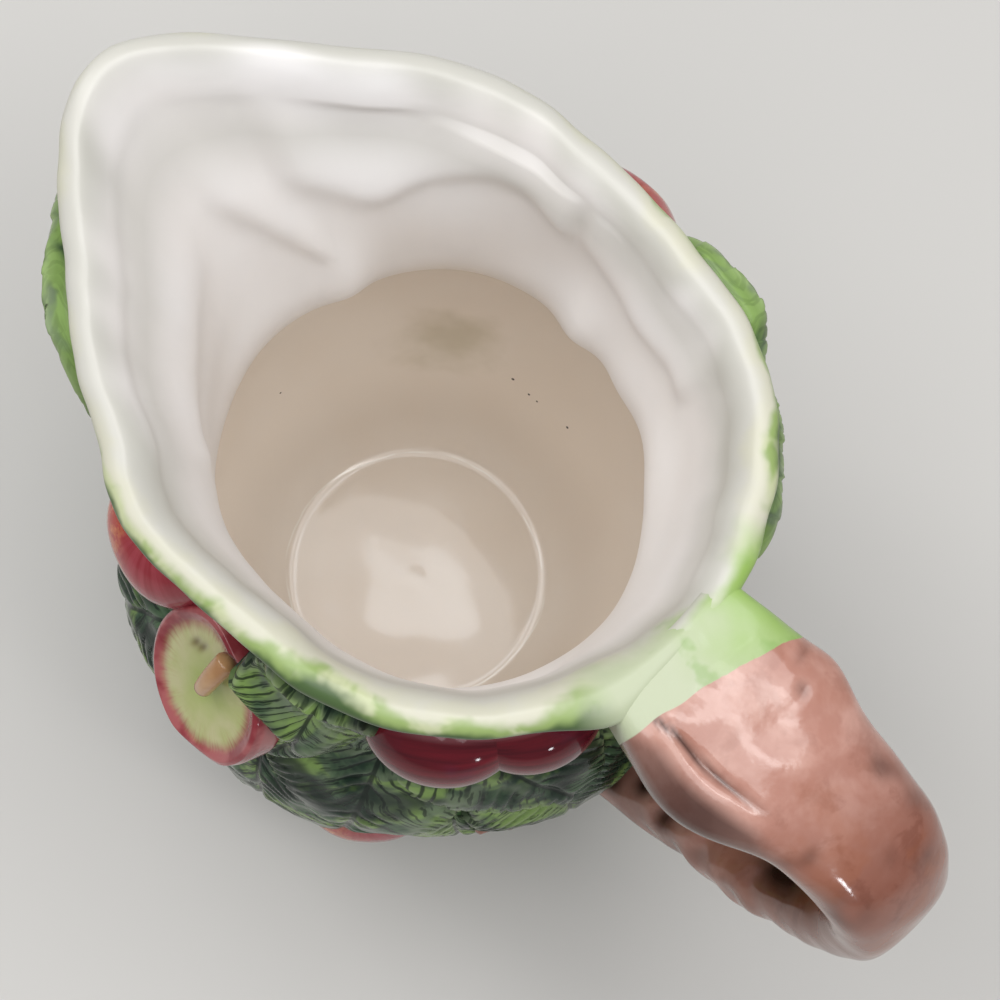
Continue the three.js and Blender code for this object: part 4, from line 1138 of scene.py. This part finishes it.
def table_top():
    """A plain pale sheet under the pitcher, as one large square."""
    mesh = bpy.data.meshes.new("table_top")
    half = 3.0
    corners = [(-half, -half, 0), (half, -half, 0), (half, half, 0), (-half, half, 0)]
    mesh.from_pydata(corners, [], [(0, 1, 2, 3)])
    sheet = bpy.data.objects.new("table_top", mesh)
    sheet.location.z = -0.0003
    bpy.context.scene.collection.objects.link(sheet)
    plain = Glaze("table_paint", coat=0.0)
    tone = plain.cloud(plain.place(), 3, 2)
    plain.fire(plain.blend(plain.step(tone, 0.3, 0.7), "c8c6c2", "cccac6"), 0.75, tone, 0.0001)
    mesh.materials.append(plain.material)


def lamp(name, place, target, size, power, tint=(1, 1, 1), shape="RECTANGLE"):
    """A flat lamp at a place in metres, turned to its target, with its size in metres and power in watts."""
    data = bpy.data.lights.new(name, "AREA")
    data.shape = shape
    data.size, data.size_y = size
    data.energy = power
    data.color = tint
    lamp_object = bpy.data.objects.new(name, data)
    aim = Vector(target) - Vector(place)
    lamp_object.location = place
    lamp_object.rotation_euler = aim.to_track_quat("-Z", "Y").to_euler()
    bpy.context.scene.collection.objects.link(lamp_object)


table_top()
lamp("left_softbox", (-0.58, 0.0, 1.5), (0, 0, 0.12), (1.3, 0.5), 5.6)
lamp("right_softbox", (0.6, 0.1, 1.5), (0, 0, 0.12), (1.2, 0.5), 4.8)
lamp("front_softbox", (0, -0.6, 1.5), (0, 0, 0.12), (0.7, 0.5), 3.3)
lamp("back_softbox", (0, 0.6, 1.5), (0, 0, 0.12), (0.7, 0.5), 3.6)
lamp("ceiling_softbox", (-0.1, 0.0, 1.5), (-0.1, 0, 0), (0.9, 0.7), 4.5)
lamp("low_softbox", (-1.05, -0.1, 1.15), (0, 0, 0.15), (0.5, 0.6), 4.0)
lamp("window", (0.53, 0.07, 1.5), (0.02, 0.04, 0.18), (0.16, 0.65), 1.6, (1.0, 0.98, 0.96))
lamp("side_lamp", (1.2, -0.45, 0.35), (0.05, 0, 0.15), (0.09, 0.09), 0.7, (0.93, 0.96, 1.0))
lamp("bulb", (-0.08, 0.21, 1.5), (0, 0, 0), (0.11, 0.085), 0.08, (0.86, 0.93, 1.0), "ELLIPSE")
world = bpy.data.worlds.new("studio")
world.use_nodes = True
world.node_tree.nodes["Background"].inputs["Color"].default_value = (0.92, 0.94, 1.0, 1)
world.node_tree.nodes["Background"].inputs["Strength"].default_value = 0.24
bpy.context.scene.world = world

# The camera stands over the near side and looks steeply down, turned so that the spout is at the upper left
CAMERA_PLACE = (0.0366, -0.0954, 0.618)
CAMERA_LENS = 90.64
AZIMUTH, ELEVATION, ROLL = (math.radians(angle) for angle in (15.158, 78.179, 25.766))
sideways = math.cos(ELEVATION)
back = Vector((math.sin(AZIMUTH) * sideways, -math.cos(AZIMUTH) * sideways, math.sin(ELEVATION)))
level_right = Vector((math.cos(AZIMUTH), math.sin(AZIMUTH), 0))
level_up = back.cross(level_right)
right = math.cos(ROLL) * level_right + math.sin(ROLL) * level_up
up = math.cos(ROLL) * level_up - math.sin(ROLL) * level_right
camera = bpy.data.objects.new("camera", bpy.data.cameras.new("camera"))
camera.data.sensor_width = 36
camera.data.lens = CAMERA_LENS
camera.data.clip_end = 20
turned_to = Matrix((right, up, back)).transposed().to_4x4()
camera.matrix_world = Matrix.Translation(CAMERA_PLACE) @ turned_to
bpy.context.scene.collection.objects.link(camera)
bpy.context.scene.camera = camera
bpy.context.scene.view_settings.view_transform = "Standard"
